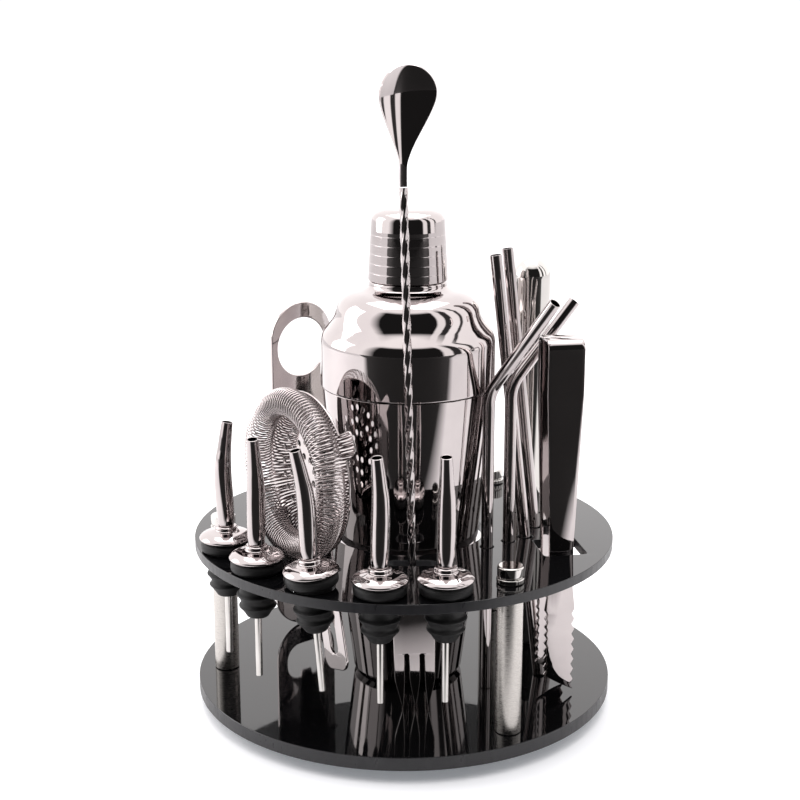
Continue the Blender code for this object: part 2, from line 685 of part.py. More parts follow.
def muddler():
    r = MUDDLER_RADIUS
    dome = [(r * math.sin(math.radians(a)), MUDDLER_LENGTH - r + r * math.cos(math.radians(a)))
            for a in (0, 30, 60, 90)]
    handle_bottom = MUDDLER_HEAD + GAP
    handle = dome + [(r, handle_bottom), (4.3 * MM, handle_bottom), (4.3 * MM, handle_bottom + 12.5 * MM),
                     (0, handle_bottom + 12.5 * MM)]
    turned("muddler_handle", handle, 20, POLISHED_STEEL, at(*MUDDLER_PLACE))
    head = [(0, MUDDLER_HEAD + 12 * MM), (4 * MM, MUDDLER_HEAD + 12 * MM), (4 * MM, MUDDLER_HEAD),
            (r, MUDDLER_HEAD), (r, 2.5 * MM), (r - 2 * MM, GAP), (0, GAP)]
    turned("muddler_head", head, 20, NYLON, at(*MUDDLER_PLACE))


# ---------------------------------------------------------------- ice tongs

def tongs_place():
    return at(*TONGS_PLACE) @ turn(TONGS_YAW, "Z")


def tongs_bow():
    """Spring bow: a strip bent into a square-shouldered U, open downwards."""
    half = TONGS_HALF_GAP
    side = [(half, TONGS_BOW_START)]
    for quarter in (0, 1):
        middle = (half - TONGS_BEND) * (1 - 2 * quarter)
        for i in range(4):
            y, z = on_circle(TONGS_BEND, 90 * (quarter + i / 3))
            side.append((middle + y, TONGS_TOP - TONGS_BEND + z))
    side.append((-half, TONGS_BOW_START))
    shape = bmesh.new()
    rows = []
    for y, z in side:
        rows.append([shape.verts.new((x, y, z)) for x in (-TONGS_HALF_WIDTH_TOP, TONGS_HALF_WIDTH_TOP)])
    for low, high in zip(rows, rows[1:]):
        shape.faces.new((low[0], low[1], high[1], high[0]))
    mesh = bpy.data.meshes.new("tongs_bow")
    shape.to_mesh(mesh)
    shape.free()
    bow = add("tongs_bow", mesh, GUNMETAL, tongs_place())
    wall = bow.modifiers.new("wall", "SOLIDIFY")
    wall.thickness = TONGS_THICKNESS
    wall.offset = 0


def leg_edge(foot):
    """One edge of a leg, top to bottom: taper to the waist, then saw teeth down to the foot."""
    edge = [(TONGS_HALF_WIDTH_TOP, TONGS_BOW_START - GAP), (TONGS_HALF_WIDTH_WAIST, TONGS_WAIST_HEIGHT),
            (TONGS_HALF_WIDTH_WAIST, TONGS_WAIST_HEIGHT - 12 * MM)]
    for tooth in range(CLAW_TEETH):
        top = CLAW_TOP - tooth * CLAW_PITCH
        if top - CLAW_PITCH / 2 > foot:
            edge.append((TONGS_HALF_WIDTH_CLAW, top))
            edge.append((TONGS_HALF_WIDTH_CLAW - CLAW_TOOTH, top - CLAW_PITCH / 2))
    edge.append((TONGS_HALF_WIDTH_CLAW - 1.5 * MM, foot))
    return edge


def tongs_leg(name, side):
    """Flat leg whose origin is on its hinge line at the bow's end. Its foot is cut at a slant."""
    hinge = TONGS_BOW_START - GAP
    right = [Vector((x, z - hinge, 0)) for x, z in leg_edge(TONGS_FOOT)]
    left = [Vector((-x, z - hinge, 0)) for x, z in reversed(leg_edge(TONGS_FOOT + 9 * MM))]
    place = tongs_place() @ Matrix.Translation((0, side * TONGS_HALF_GAP, hinge)) @ turn(90, "X")
    flat(name, [left + right], TONGS_THICKNESS, GUNMETAL, place)


# ---------------------------------------------------------------- straws

def straws():
    for name, (foot, elbow_height, tip) in BENT_STRAWS.items():
        corner = (0, 0, elbow_height)
        route = bent_route((0, 0, STRAW_FOOT), corner, tip, ELBOW_RADIUS, 4)
        tube(name, route, [STRAW_RADIUS] * len(route), 10, GUNMETAL, at(*foot), STRAW_WALL)
    for name, (crossing, slope) in STRAIGHT_STRAWS.items():
        direction = Vector((*slope, 1))
        rise = UPPER_TOP - LOWER_TOP - UPPER_THICKNESS / 2 - STRAW_FOOT
        x = crossing[0] - slope[0] * rise
        y = crossing[1] - slope[1] * rise
        route = [(0, 0, 0), (0, 0, STRAIGHT_STRAW_LENGTH)]
        tube(name, route, [STRAW_RADIUS] * 2, 10, GUNMETAL,
             at(x, y, STRAW_FOOT + 0.4 * MM) @ along(direction), STRAW_WALL)


clear_scene()
PARTS = new_collection("cocktail_shaker_set")
CUTTERS = new_collection("cutters")
ACRYLIC = principled("black_acrylic", (0.012, 0.012, 0.014), 0.08, 0.0)
RUBBER = principled("black_rubber", (0.02, 0.02, 0.02), 0.6, 0.0)
NYLON = principled("black_nylon", (0.03, 0.03, 0.03), 0.5, 0.0)
GUNMETAL = metal("gunmetal_chrome", (0.42, 0.39, 0.39), 0.12)
BRUSHED_STEEL = metal("brushed_steel", (0.72, 0.71, 0.70), 0.3)
POLISHED_STEEL = metal("polished_steel", (0.8, 0.79, 0.78), 0.12)

lower_plate()
upper_plate()
posts()
post_caps()
feet()
shaker_cup()
shaker_lid()
shaker_cap()
spoon_stem()
spoon_bowl()
spoon_fork()
pourers()
strainer_disc()
strainer_handle()
strainer_spring()
bottle_opener()
muddler()
tongs_bow()
tongs_leg("tongs_near_leg", -1)
tongs_leg("tongs_far_leg", 1)
straws()
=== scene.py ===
"""Looks for the cocktail shaker set: fine meshes, materials, floor, light and camera.

Lengths are written in millimetres and multiplied by MM. Heights called "above the lower plate" start
at the lower plate's top face, as in the CAD model.
"""

import math

import bmesh
import bpy
from mathutils import Matrix, Vector


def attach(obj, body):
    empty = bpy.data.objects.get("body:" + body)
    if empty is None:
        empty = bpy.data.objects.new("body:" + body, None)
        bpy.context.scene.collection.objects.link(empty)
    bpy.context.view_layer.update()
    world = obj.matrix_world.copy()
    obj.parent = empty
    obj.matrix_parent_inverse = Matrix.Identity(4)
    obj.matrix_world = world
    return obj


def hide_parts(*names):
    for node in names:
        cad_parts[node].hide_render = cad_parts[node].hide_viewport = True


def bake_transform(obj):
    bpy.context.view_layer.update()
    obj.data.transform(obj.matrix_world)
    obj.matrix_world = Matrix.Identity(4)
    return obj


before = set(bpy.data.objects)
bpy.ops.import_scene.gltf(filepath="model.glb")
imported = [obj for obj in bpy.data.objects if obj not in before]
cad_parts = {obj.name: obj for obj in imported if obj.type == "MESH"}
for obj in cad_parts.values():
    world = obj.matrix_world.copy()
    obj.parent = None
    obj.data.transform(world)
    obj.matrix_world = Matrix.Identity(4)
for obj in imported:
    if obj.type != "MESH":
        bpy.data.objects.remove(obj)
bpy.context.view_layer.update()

MM = 0.001
GAP = 0.3 * MM

# Stand
PLATE_RADIUS = 108.5 * MM
FOOT_HEIGHT = 6.6 * MM
LOWER_THICKNESS = 6.8 * MM
UPPER_THICKNESS = 5.0 * MM
POST_RADIUS = 6.35 * MM
POST_CIRCLE = 94 * MM
POST_ANGLES = {"left": 182.3, "right": 302.3, "back": 57.5}
LOWER_TOP = FOOT_HEIGHT + LOWER_THICKNESS
PLATE_RISE = 76.5 * MM
FOOT_STUD_HOLE = 2.3 * MM
CAP_STUD_HOLE = 2.8 * MM

# Shaker
SHAKER_PLACE = (2.0 * MM, -3 * MM)
SHAKER_HOLE_RADIUS = 39.5 * MM
SEAM_HEIGHT = 155 * MM
SHEET = 0.9 * MM
SIEVE_HOLE_RADIUS = 1.3 * MM

# In plain millimetres, as the turned profiles are: the sieve's rings as (holes, radius), and the cap's lines
SIEVE_RINGS = ((6, 4.6), (12, 9.2))
CAP_GROOVES = (231.5, 226.8, 222.1, 217.4, 212.7)
CAP_GROOVE_DEPTH = 0.03

# Bar spoon
SPOON_FOOT = (5.8 * MM, -55.5 * MM)
SPOON_LEAN = Vector((-7.5, 8.0, 312))
STEM_START = 62 * MM
STEM_END = 258 * MM
STEM_HALF_SIDE = 1.75 * MM
TWIST_PITCH = 42 * MM
SPOON_LENGTH = 315 * MM
BOWL_HALF_WIDTH = 13.9 * MM
BOWL_SHIFT = 3.2 * MM
BOWL_DEPTH = 4.6 * MM
BOWL_YAW = 16
NECK_SHARE = 0.18
WIDE_SHARE = 0.74
NECK_HALF_WIDTH = 1.7 * MM
FORK_HALF_WIDTH = 10.3 * MM
TINE_LENGTH = 28 * MM
TINE_SLOT = 2.3 * MM
SPOON_SLOT = (25 * MM, 8 * MM)

# Liquor pourers
POURER_CIRCLE = 95.4 * MM
POURER_ANGLES = (201.4, 221.8, 243.0, 263.2, 281.7)
POURER_LEAN_DIRECTIONS = (20.0, 255.0, 200.0, 235.0, 262.0)
POURER_TILTS = (0, 0, 4.5, 0, 0)
POURER_TILT_DIRECTION = 195
POURER_HOLE_RADIUS = 10.9 * MM
COLLAR_RADIUS = 13.7 * MM

# Hawthorne strainer
STRAINER_CENTRE = (-47.3 * MM, -44.8 * MM, 120.0 * MM)
STRAINER_YAW = -57
STRAINER_LEAN = -15
COIL_RING_RADIUS = 36 * MM
COIL_RADIUS = 7.2 * MM
COIL_TURNS = 130
WIRE_RADIUS = 0.42 * MM
STEPS_PER_TURN = 14
WIRE_SIDES = 6
DISC_RADIUS = 40.5 * MM
EAR_RADIUS = 51.5 * MM
EAR_ANGLES = (16, 164)
EAR_HALF_WIDTH = 6.5 * MM
HANDLE_HALF_WIDTH = 10.5 * MM
HANDLE_START = 24 * MM
HANDLE_END = 98 * MM
STRAINER_SLOT = (27 * MM, 7 * MM)

# Bottle opener and muddler
OPENER_PLACE = (-56 * MM, 58 * MM)
OPENER_YAW = 40
OPENER_WIDTH = 40 * MM
OPENER_LENGTH = 185 * MM
FINGER_HOLE_RADIUS = 16 * MM
FINGER_HOLE_FROM_TOP = 24.5 * MM
LIFTER_SIZE = (27 * MM, 21 * MM)
LIFTER_FROM_BOTTOM = 22.5 * MM
OPENER_SLOT = (43 * MM, 5 * MM)
MUDDLER_PLACE = (67 * MM, 32 * MM)
MUDDLER_RADIUS = 9.8 * MM
MUDDLER_LENGTH = 214 * MM
MUDDLER_HEAD = 32 * MM
MUDDLER_HOLE_RADIUS = 10.7 * MM

# Ice tongs
TONGS_PLACE = (77.0 * MM, -30 * MM)
TONGS_YAW = 10
TONGS_HALF_GAP = 9.5 * MM
TONGS_THICKNESS = 1.2 * MM
TONGS_TOP = 184 * MM
TONGS_BOW_START = 158 * MM
TONGS_FOOT = 2 * MM
TONGS_SLANT = 9 * MM
TONGS_BEND = 4 * MM
TONGS_HALF_WIDTH_TOP = 9.2 * MM
TONGS_HALF_WIDTH_WAIST = 6.1 * MM
TONGS_HALF_WIDTH_CLAW = 7.9 * MM
TONGS_WAIST_HEIGHT = 80 * MM
CLAW_TOP = 46 * MM
CLAW_TEETH = 8
CLAW_TOOTH = 1.5 * MM
TROUGH_DEPTH = 1.6 * MM
WAIST_TROUGH = 0.8 * MM
TONGS_CUTOUT = (22 * MM, 25 * MM)
TONGS_CUTOUT_SHIFT = 1.5 * MM

# Straws
STRAW_RADIUS = 3.0 * MM
STRAW_WALL = 0.45 * MM
STRAW_HOLE_RADIUS = 3.6 * MM
LEANING_HOLE_RADIUS = 4.0 * MM
STRAW_FOOT = 0.5 * MM
BENT_STRAWS = {
    "left": ((41.8 * MM, -29.9 * MM), 156 * MM, (29.4 * MM, -20 * MM, 205 * MM)),
    "right": ((53.2 * MM, -21.2 * MM), 158 * MM, (31.8 * MM, 13.5 * MM, 198 * MM)),
}
STRAIGHT_STRAWS = {
    "front": ((62.3 * MM, -14.3 * MM), (-0.117, 0.0)),
    "back": ((68.5 * MM, 2 * MM), (-0.110, 0.03)),
}
STRAIGHT_STRAW_LENGTH = 223 * MM
ELBOW_RADIUS = 14 * MM

# White floor in reflections: where it fades out in front, and how fast that edge recedes to each side
TABLE_START = 0.12
TABLE_END = 0.22
TABLE_SPREAD = 0.45
FLOOR_WHITE = (0.9, 0.9, 0.91)
FLOOR_DARK = (0.01, 0.01, 0.01)
FLOOR_GLOW = (0.88, 0.93, 1.0, 1.0)
FLOOR_GLOW_STRENGTH = 0.22

# Light of the studio round the horizon, as (share of a full turn, brightness), and the white above it
ROOM_BANDS = (
    (0.0, 1.0), (0.325, 1.0), (0.375, 0.01), (0.625, 0.01), (0.635, 0.9), (0.665, 0.9), (0.672, 0.03),
    (0.70, 0.03), (0.707, 1.0), (0.745, 1.0), (0.75, 0.06), (0.762, 0.06), (0.767, 1.0),
)
OVERHEAD_START = 0.74
OVERHEAD_END = 0.88
ROOM_TINT = (1.0, 0.975, 0.975, 1)
BACKDROP = (0.6, 0.6, 0.6, 1)
ROOM_STRENGTH = 1.75

# Camera
CAMERA_PLACE = (-0.002, -0.768, 0.3544)
CAMERA_TILT = 75.7
CAMERA_LENS = 69.6

# Sockets of a Mix node that mixes colours
MIX_FACTOR = 0
MIX_FIRST = 6
MIX_SECOND = 7
MIX_RESULT = 2


# ---------------------------------------------------------------- materials

def add_node(tree, kind, operation=None):
    """New shader node, with its operation where it has one."""
    made = tree.nodes.new(kind)
    if operation:
        made.operation = operation
    return made


def add_colour_mix(tree, blend_type="MIX"):
    made = tree.nodes.new("ShaderNodeMix")
    made.data_type = "RGBA"
    made.blend_type = blend_type
    return made


class Finish:
    """A Principled material and the small node chains that vary it over the surface."""

    def __init__(self, name, colour, roughness, metallic=0.0):
        self.material = bpy.data.materials.new(name)
        self.material.use_nodes = True
        self.tree = self.material.node_tree
        self.shader = self.tree.nodes["Principled BSDF"]
        self.set("Base Color", (*colour, 1.0))
        self.set("Roughness", roughness)
        self.set("Metallic", metallic)

    def set(self, socket, value):
        self.shader.inputs[socket].default_value = value

    def link(self, source, target):
        self.tree.links.new(source, target)

    def noise(self, scale, detail=3.0, stretch=(1, 1, 1)):
        """Noise in the object's own metres, so that its grain has a real size."""
        place = add_node(self.tree, "ShaderNodeTexCoord")
        mapping = add_node(self.tree, "ShaderNodeMapping")
        mapping.inputs["Scale"].default_value = stretch
        texture = add_node(self.tree, "ShaderNodeTexNoise")
        texture.inputs["Scale"].default_value = scale
        texture.inputs["Detail"].default_value = detail
        self.link(place.outputs["Object"], mapping.inputs["Vector"])
        self.link(mapping.outputs["Vector"], texture.inputs["Vector"])
        return texture.outputs["Fac"]

    def spread(self, value, low, high, start=0.3, end=0.7):
        """Maps a noise value from start..end to low..high."""
        stretch = add_node(self.tree, "ShaderNodeMapRange")
        stretch.inputs["From Min"].default_value = start
        stretch.inputs["From Max"].default_value = end
        stretch.inputs["To Min"].default_value = low
        stretch.inputs["To Max"].default_value = high
        self.link(value, stretch.inputs["Value"])
        return stretch.outputs["Result"]

    def mix(self, factor, first, second):
        """Colour between two colours, by a factor from 0 to 1."""
        blend = add_colour_mix(self.tree)
        self.link(factor, blend.inputs[MIX_FACTOR])
        blend.inputs[MIX_FIRST].default_value = (*first, 1.0)
        blend.inputs[MIX_SECOND].default_value = (*second, 1.0)
        return blend.outputs[MIX_RESULT]

    def bump(self, height, strength, distance):
        relief = add_node(self.tree, "ShaderNodeBump")
        relief.inputs["Strength"].default_value = strength
        relief.inputs["Distance"].default_value = distance
        self.link(height, relief.inputs["Height"])
        if self.shader.inputs["Normal"].links:
            self.link(self.shader.inputs["Normal"].links[0].from_socket, relief.inputs["Normal"])
        self.link(relief.outputs["Normal"], self.shader.inputs["Normal"])

    def drive(self, socket, value):
        self.link(value, self.shader.inputs[socket])


def plated_metal(name, light, dark, smooth, dull):
    """Mirror plating: faint smudges dull it, and the sheet under it is not quite flat."""
    finish = Finish(name, light, smooth, 1.0)
    smudge = finish.noise(55, 4)
    finish.drive("Base Color", finish.mix(finish.spread(smudge, 0, 1), light, dark))
    finish.drive("Roughness", finish.spread(finish.noise(140, 6), smooth, dull))
    finish.bump(finish.noise(22, 1), 0.06, 0.4 * MM)
    finish.bump(finish.noise(2600, 2), 0.015, 0.02 * MM)
    return finish.material


def brushed_metal(name, light, dark):
    """Satin steel with fine lines that run round the bar."""
    finish = Finish(name, light, 0.3, 1.0)
    lines = finish.noise(300, 4, (1, 1, 22))
    finish.drive("Base Color", finish.mix(finish.spread(lines, 0, 1), dark, light))
    finish.drive("Roughness", finish.spread(lines, 0.2, 0.4))
    finish.set("Anisotropic", 0.55)
    finish.bump(lines, 0.12, 0.03 * MM)
    return finish.material


def acrylic_sheet():
    """Glossy black faces with sparse dust, and a saw-cut satin edge."""
    finish = Finish("black acrylic", (0.006, 0.006, 0.007), 0.03)
    finish.set("IOR", 1.49)
    normal = add_node(finish.tree, "ShaderNodeNewGeometry")
    parts = add_node(finish.tree, "ShaderNodeSeparateXYZ")
    finish.link(normal.outputs["True Normal"], parts.inputs["Vector"])
    upright = add_node(finish.tree, "ShaderNodeMath", "ABSOLUTE")
    finish.link(parts.outputs["Z"], upright.inputs[0])
    edge = finish.spread(upright.outputs[0], 1, 0, 0.3, 0.9)
    saw = finish.noise(500, 3, (1, 1, 0.15))
    finish.drive("Base Color", finish.mix(edge, (0.003, 0.003, 0.0035), (0.022, 0.022, 0.025)))
    dull = add_node(finish.tree, "ShaderNodeMath", "MULTIPLY_ADD")
    finish.link(edge, dull.inputs[0])
    finish.link(finish.spread(saw, 0.22, 0.42), dull.inputs[1])
    finish.link(finish.spread(finish.noise(180, 5), 0.015, 0.07), dull.inputs[2])
    finish.drive("Roughness", dull.outputs[0])
    finish.bump(finish.noise(9, 1), 0.03, 0.5 * MM)
    finish.bump(finish.noise(1500, 3), 0.01, 0.02 * MM)
    return finish.material


def soft_black(name, light, dark, low, high, grain):
    """Matte rubber or nylon with a fine moulded grain."""
    finish = Finish(name, dark, high)
    cloud = finish.noise(70, 5)
    finish.drive("Base Color", finish.mix(finish.spread(cloud, 0, 1), dark, light))
    finish.drive("Roughness", finish.spread(cloud, low, high))
    finish.set("Specular IOR Level", 0.4)
    finish.bump(finish.noise(grain, 4), 0.2, 0.06 * MM)
    return finish.material


def studio_floor():
    """White floor. In reflections it ends a little in front of the object, like the edge of a table."""
    finish = Finish("white floor", FLOOR_WHITE, 0.6)
    place = add_node(finish.tree, "ShaderNodeTexCoord")
    parts = add_node(finish.tree, "ShaderNodeSeparateXYZ")
    finish.link(place.outputs["Object"], parts.inputs["Vector"])
    aside = add_node(finish.tree, "ShaderNodeMath", "ABSOLUTE")
    finish.link(parts.outputs["X"], aside.inputs[0])
    ahead = add_node(finish.tree, "ShaderNodeMath", "MULTIPLY_ADD")
    finish.link(aside.outputs[0], ahead.inputs[0])
    ahead.inputs[1].default_value = TABLE_SPREAD
    finish.link(parts.outputs["Y"], ahead.inputs[2])
    table = finish.spread(ahead.outputs[0], 0, 1, -TABLE_END, -TABLE_START)
    seen = add_node(finish.tree, "ShaderNodeLightPath")
    either = add_node(finish.tree, "ShaderNodeMath", "MAXIMUM")
    finish.link(table, either.inputs[0])
    finish.link(seen.outputs["Is Camera Ray"], either.inputs[1])
    finish.drive("Base Color", finish.mix(either.outputs[0], FLOOR_DARK, FLOOR_WHITE))
    finish.set("Emission Color", FLOOR_GLOW)
    glow = finish.spread(seen.outputs["Is Camera Ray"], 0, FLOOR_GLOW_STRENGTH, 0, 1)
    finish.drive("Emission Strength", glow)
    finish.set("Specular IOR Level", 0.2)
    finish.bump(finish.noise(400, 3), 0.05, 0.1 * MM)
    return finish.material


# ---------------------------------------------------------------- pieces

def keep(thing, body, slot_name, *nodes):
    """The piece takes the place of CAD nodes and moves with their body."""
    thing.data.materials.append(FINISHES[slot_name])
    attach(thing, body)
    if nodes:
        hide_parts(*nodes)
    return thing


def piece(name, shape, place, sharp=35):
    """Object from a bmesh, smooth except where its faces meet at more than the sharp angle."""
    bmesh.ops.remove_doubles(shape, verts=shape.verts, dist=0.002 * MM)
    bmesh.ops.recalc_face_normals(shape, faces=shape.faces)
    mesh = bpy.data.meshes.new(name)
    shape.to_mesh(mesh)
    shape.free()
    mesh.shade_smooth()
    mesh.set_sharp_from_angle(angle=math.radians(sharp))
    thing = bpy.data.objects.new(name, mesh)
    bpy.context.scene.collection.objects.link(thing)
    thing.matrix_world = place
    return thing


def even_shading(thing):
    """Keeps broad flat faces flat beside their softened edges."""
    weighted = thing.modifiers.new("even_shading", "WEIGHTED_NORMAL")
    weighted.weight = 100
    weighted.keep_sharp = True
    return thing


def at(x, y, above_plate=0.0):
    return Matrix.Translation((x, y, LOWER_TOP + above_plate))


def turn(degrees, axis):
    return Matrix.Rotation(math.radians(degrees), 4, axis)


def on_circle(radius, degrees):
    angle = math.radians(degrees)
    return radius * math.cos(angle), radius * math.sin(angle)


def along(direction):
    """Rotation that takes +Z to the direction and keeps +X near the world's +X."""
    up = Vector(direction).normalized()
    back = up.cross(Vector((1, 0, 0))).normalized()
    right = back.cross(up)
    return Matrix((right, back, up)).transposed().to_4x4()


def filleted(points, radius, pieces=4, closed=False):
    """The same outline with its corners rounded. Ends of an open outline stay as they are."""
    result = []
    count = len(points)
    for i, corner in enumerate(points):
        if not closed and i in (0, count - 1):
            result.append(Vector(corner))
            continue
        before = Vector(points[i - 1]) - Vector(corner)
        after = Vector(points[(i + 1) % count]) - Vector(corner)
        if before.normalized().dot(after.normalized()) < -0.9999:
            result.append(Vector(corner))
            continue
        reach = min(radius, before.length * 0.45, after.length * 0.45)
        first = Vector(corner) + before.normalized() * reach
        last = Vector(corner) + after.normalized() * reach
        for k in range(pieces + 1):
            t = k / pieces
            result.append(first * (1 - t) ** 2 + Vector(corner) * 2 * t * (1 - t) + last * t * t)
    return result


def lathe(name, profile, place, steps=96, fillet=0.4, closed=False, sharp=50):
    """Solid of revolution from (radius, height) points in millimetres, with softened corners."""
    points = filleted([(r, h) for r, h in profile], fillet, 4, closed)
    shape = bmesh.new()
    rings = []
    for radius, height in points:
        if radius < 0.001:
            rings.append([shape.verts.new((0, 0, height * MM))] * steps)
            continue
        ring = []
        for i in range(steps):
            x, y = on_circle(radius * MM, 360 * i / steps)
            ring.append(shape.verts.new((x, y, height * MM)))
        rings.append(ring)
    pairs = list(zip(rings, rings[1:]))
    if closed:
        pairs.append((rings[-1], rings[0]))
    for low, high in pairs:
        bridge(shape, low, high)
    return even_shading(piece(name, shape, place, sharp))


def bridge(shape, low, high):
    """Faces between two closed rings. A ring may be one point repeated."""
    count = len(low)
    for i in range(count):
        k = (i + 1) % count
        corners = []
        for vertex in (low[i], low[k], high[k], high[i]):
            if vertex not in corners:
                corners.append(vertex)
        if len(corners) > 2:
            shape.faces.new(corners)


def smooth_path(points, pieces=6):
    """Catmull-Rom curve through the points."""
    points = [Vector(p) for p in points]
    padded = [2 * points[0] - points[1], *points, 2 * points[-1] - points[-2]]
    result = []
    for a, b, c, d in zip(padded, padded[1:], padded[2:], padded[3:]):
        for k in range(pieces):
            t = k / pieces
            result.append(0.5 * (2 * b + (c - a) * t + (2 * a - 5 * b + 4 * c - d) * t * t
                                 + (3 * b - a - 3 * c + d) * t ** 3))
    result.append(points[-1])
    return result


def frames_along(path, closed=False):
    """A pair of side directions at each point of a path, turned as little as possible."""
    count = len(path)
    tangents = []
    for i in range(count):
        ahead = path[(i + 1) % count] if closed else path[min(i + 1, count - 1)]
        behind = path[i - 1] if closed else path[max(i - 1, 0)]
        tangents.append((ahead - behind).normalized())
    side = tangents[0].orthogonal().normalized()
    frames = []
    for tangent in tangents:
        side = (side - tangent * side.dot(tangent)).normalized()
        frames.append((side, tangent.cross(side)))
    return frames


def ring_at(shape, centre, frame_pair, radius, sides):
    ring = []
    for i in range(sides):
        x, y = on_circle(radius, 360 * i / sides)
        ring.append(shape.verts.new(centre + frame_pair[0] * x + frame_pair[1] * y))
    return ring


def pipe(name, path, radii, wall, place, sides=28):
    """Open thin-walled pipe along a path, with a slightly rolled rim at each end."""
    path = [Vector(p) for p in path]
    frames = frames_along(path)
    start = (path[0] - path[1]).normalized() * wall * 0.25
    end = (path[-1] - path[-2]).normalized() * wall * 0.25
    stations = list(zip(path, frames, radii))
    rims = [
        (path[-1] + end, frames[-1], radii[-1] - wall * 0.5),
        (path[0] + start, frames[0], radii[0] - wall * 0.5),
    ]
    inner = [(p, f, r - wall) for p, f, r in reversed(stations)]
    shape = bmesh.new()
    rings = [ring_at(shape, p, f, r, sides) for p, f, r in [*stations, rims[0], *inner, rims[1]]]
    for low, high in zip(rings, rings[1:] + rings[:1]):
        bridge(shape, low, high)
    return piece(name, shape, place, 60)


def rounded_box(width, height, corner, centre=(0, 0), yaw=0, pieces=10):
    outline = []
    facing = turn(yaw, "Z")
    for quarter, (sx, sy) in enumerate(((1, 1), (-1, 1), (-1, -1), (1, -1))):
        for i in range(pieces + 1):
            x, y = on_circle(corner, 90 * (quarter + i / pieces))
            point = Vector((sx * (width / 2 - corner) + x, sy * (height / 2 - corner) + y, 0))
            outline.append(facing @ point + Vector((*centre, 0)))
    return outline


def circle(radius, points, centre=(0, 0)):
    return [Vector((*on_circle(radius, 360 * i / points), 0)) + Vector((*centre, 0)) for i in range(points)]


def slab(name, outlines, thickness, edge, place):
    """Flat piece with cut-outs and softened edges."""
    curve = bpy.data.curves.new(name, "CURVE")
    curve.dimensions = "2D"
    curve.fill_mode = "BOTH"
    curve.extrude = thickness / 2 - edge
    curve.bevel_depth = edge
    curve.bevel_resolution = 2
    curve.offset = -edge
    for outline in outlines:
        spline = curve.splines.new("POLY")
        spline.points.add(len(outline) - 1)
        for point, corner in zip(spline.points, outline):
            point.co = (corner.x, corner.y, 0, 1)
        spline.use_cyclic_u = True
    draft = bpy.data.objects.new(name, curve)
    mesh = bpy.data.meshes.new_from_object(draft)
    bpy.data.objects.remove(draft)
    bpy.data.curves.remove(curve)
    shape = bmesh.new()
    shape.from_mesh(mesh)
    bpy.data.meshes.remove(mesh)
    return even_shading(piece(name, shape, place, 40))


def sheet_grid(name, rows, thickness, place, levels=1):
    """Bent sheet from rows of points, given a wall and smoothed."""
    shape = bmesh.new()
    grid = [[shape.verts.new(point) for point in row] for row in rows]
    for low, high in zip(grid, grid[1:]):
        for i in range(len(low) - 1):
            shape.faces.new((low[i], low[i + 1], high[i + 1], high[i]))
    thing = piece(name, shape, place, 70)
    wall = thing.modifiers.new("wall", "SOLIDIFY")
    wall.thickness = thickness
    wall.offset = 0
    rim = thing.modifiers.new("rim", "BEVEL")
    rim.width = thickness * 0.3
    rim.segments = 2
    rim.limit_method = "ANGLE"
    rim.angle_limit = math.radians(50)
    if levels:
        smooth = thing.modifiers.new("smooth", "SUBSURF")
        smooth.levels = levels
        smooth.render_levels = levels
    return thing


# ---------------------------------------------------------------- stand

def post_places():
    return {side: on_circle(POST_CIRCLE, angle) for side, angle in POST_ANGLES.items()}


def plates():
    lower = [circle(PLATE_RADIUS, 256)]
    upper = [circle(PLATE_RADIUS, 256), circle(SHAKER_HOLE_RADIUS, 128, SHAKER_PLACE)]
    for centre in post_places().values():
        lower.append(circle(FOOT_STUD_HOLE, 24, centre))
        upper.append(circle(CAP_STUD_HOLE, 24, centre))
    for angle in POURER_ANGLES:
        upper.append(circle(POURER_HOLE_RADIUS, 56, on_circle(POURER_CIRCLE, angle)))
    upper.append(circle(MUDDLER_HOLE_RADIUS, 56, MUDDLER_PLACE))
    for foot, _, _ in BENT_STRAWS.values():
        upper.append(circle(STRAW_HOLE_RADIUS, 32, foot))
    for centre, _ in STRAIGHT_STRAWS.values():
        upper.append(circle(LEANING_HOLE_RADIUS, 32, centre))
    slots = (
        (SPOON_SLOT, spoon_at_plate(), 0),
        (STRAINER_SLOT, strainer_at_plate(), STRAINER_YAW),
        (OPENER_SLOT, OPENER_PLACE, OPENER_YAW),
    )
    for size, centre, yaw in slots:
        upper.append(rounded_box(*size, size[1] / 2, centre, yaw))
    cutout_centre = (TONGS_PLACE[0] + TONGS_CUTOUT_SHIFT, TONGS_PLACE[1])
    upper.append(rounded_box(*TONGS_CUTOUT, 2 * MM, cutout_centre, TONGS_YAW))
    bottom = slab("stand_lower_plate", lower, LOWER_THICKNESS, 0.35 * MM, at(0, 0, -LOWER_THICKNESS / 2))
    keep(bottom, "stand", "black_acrylic", "lower_plate")
    middle = at(0, 0, PLATE_RISE - UPPER_THICKNESS / 2)
    top = slab("stand_upper_plate", upper, UPPER_THICKNESS, 0.3 * MM, middle)
    keep(top, "stand", "black_acrylic", "upper_plate")


def spoon_at_plate():
    run = (PLATE_RISE - UPPER_THICKNESS / 2) / SPOON_LEAN.z
    return SPOON_FOOT[0] + run * SPOON_LEAN.x, SPOON_FOOT[1] + run * SPOON_LEAN.y


def strainer_at_plate():
    drop = STRAINER_CENTRE[2] - (PLATE_RISE - UPPER_THICKNESS / 2)
    offset = turn(STRAINER_YAW, "Z") @ Vector((drop * math.tan(math.radians(-STRAINER_LEAN)), 1.6 * MM, 0))
    return STRAINER_CENTRE[0] + offset.x, STRAINER_CENTRE[1] + offset.y


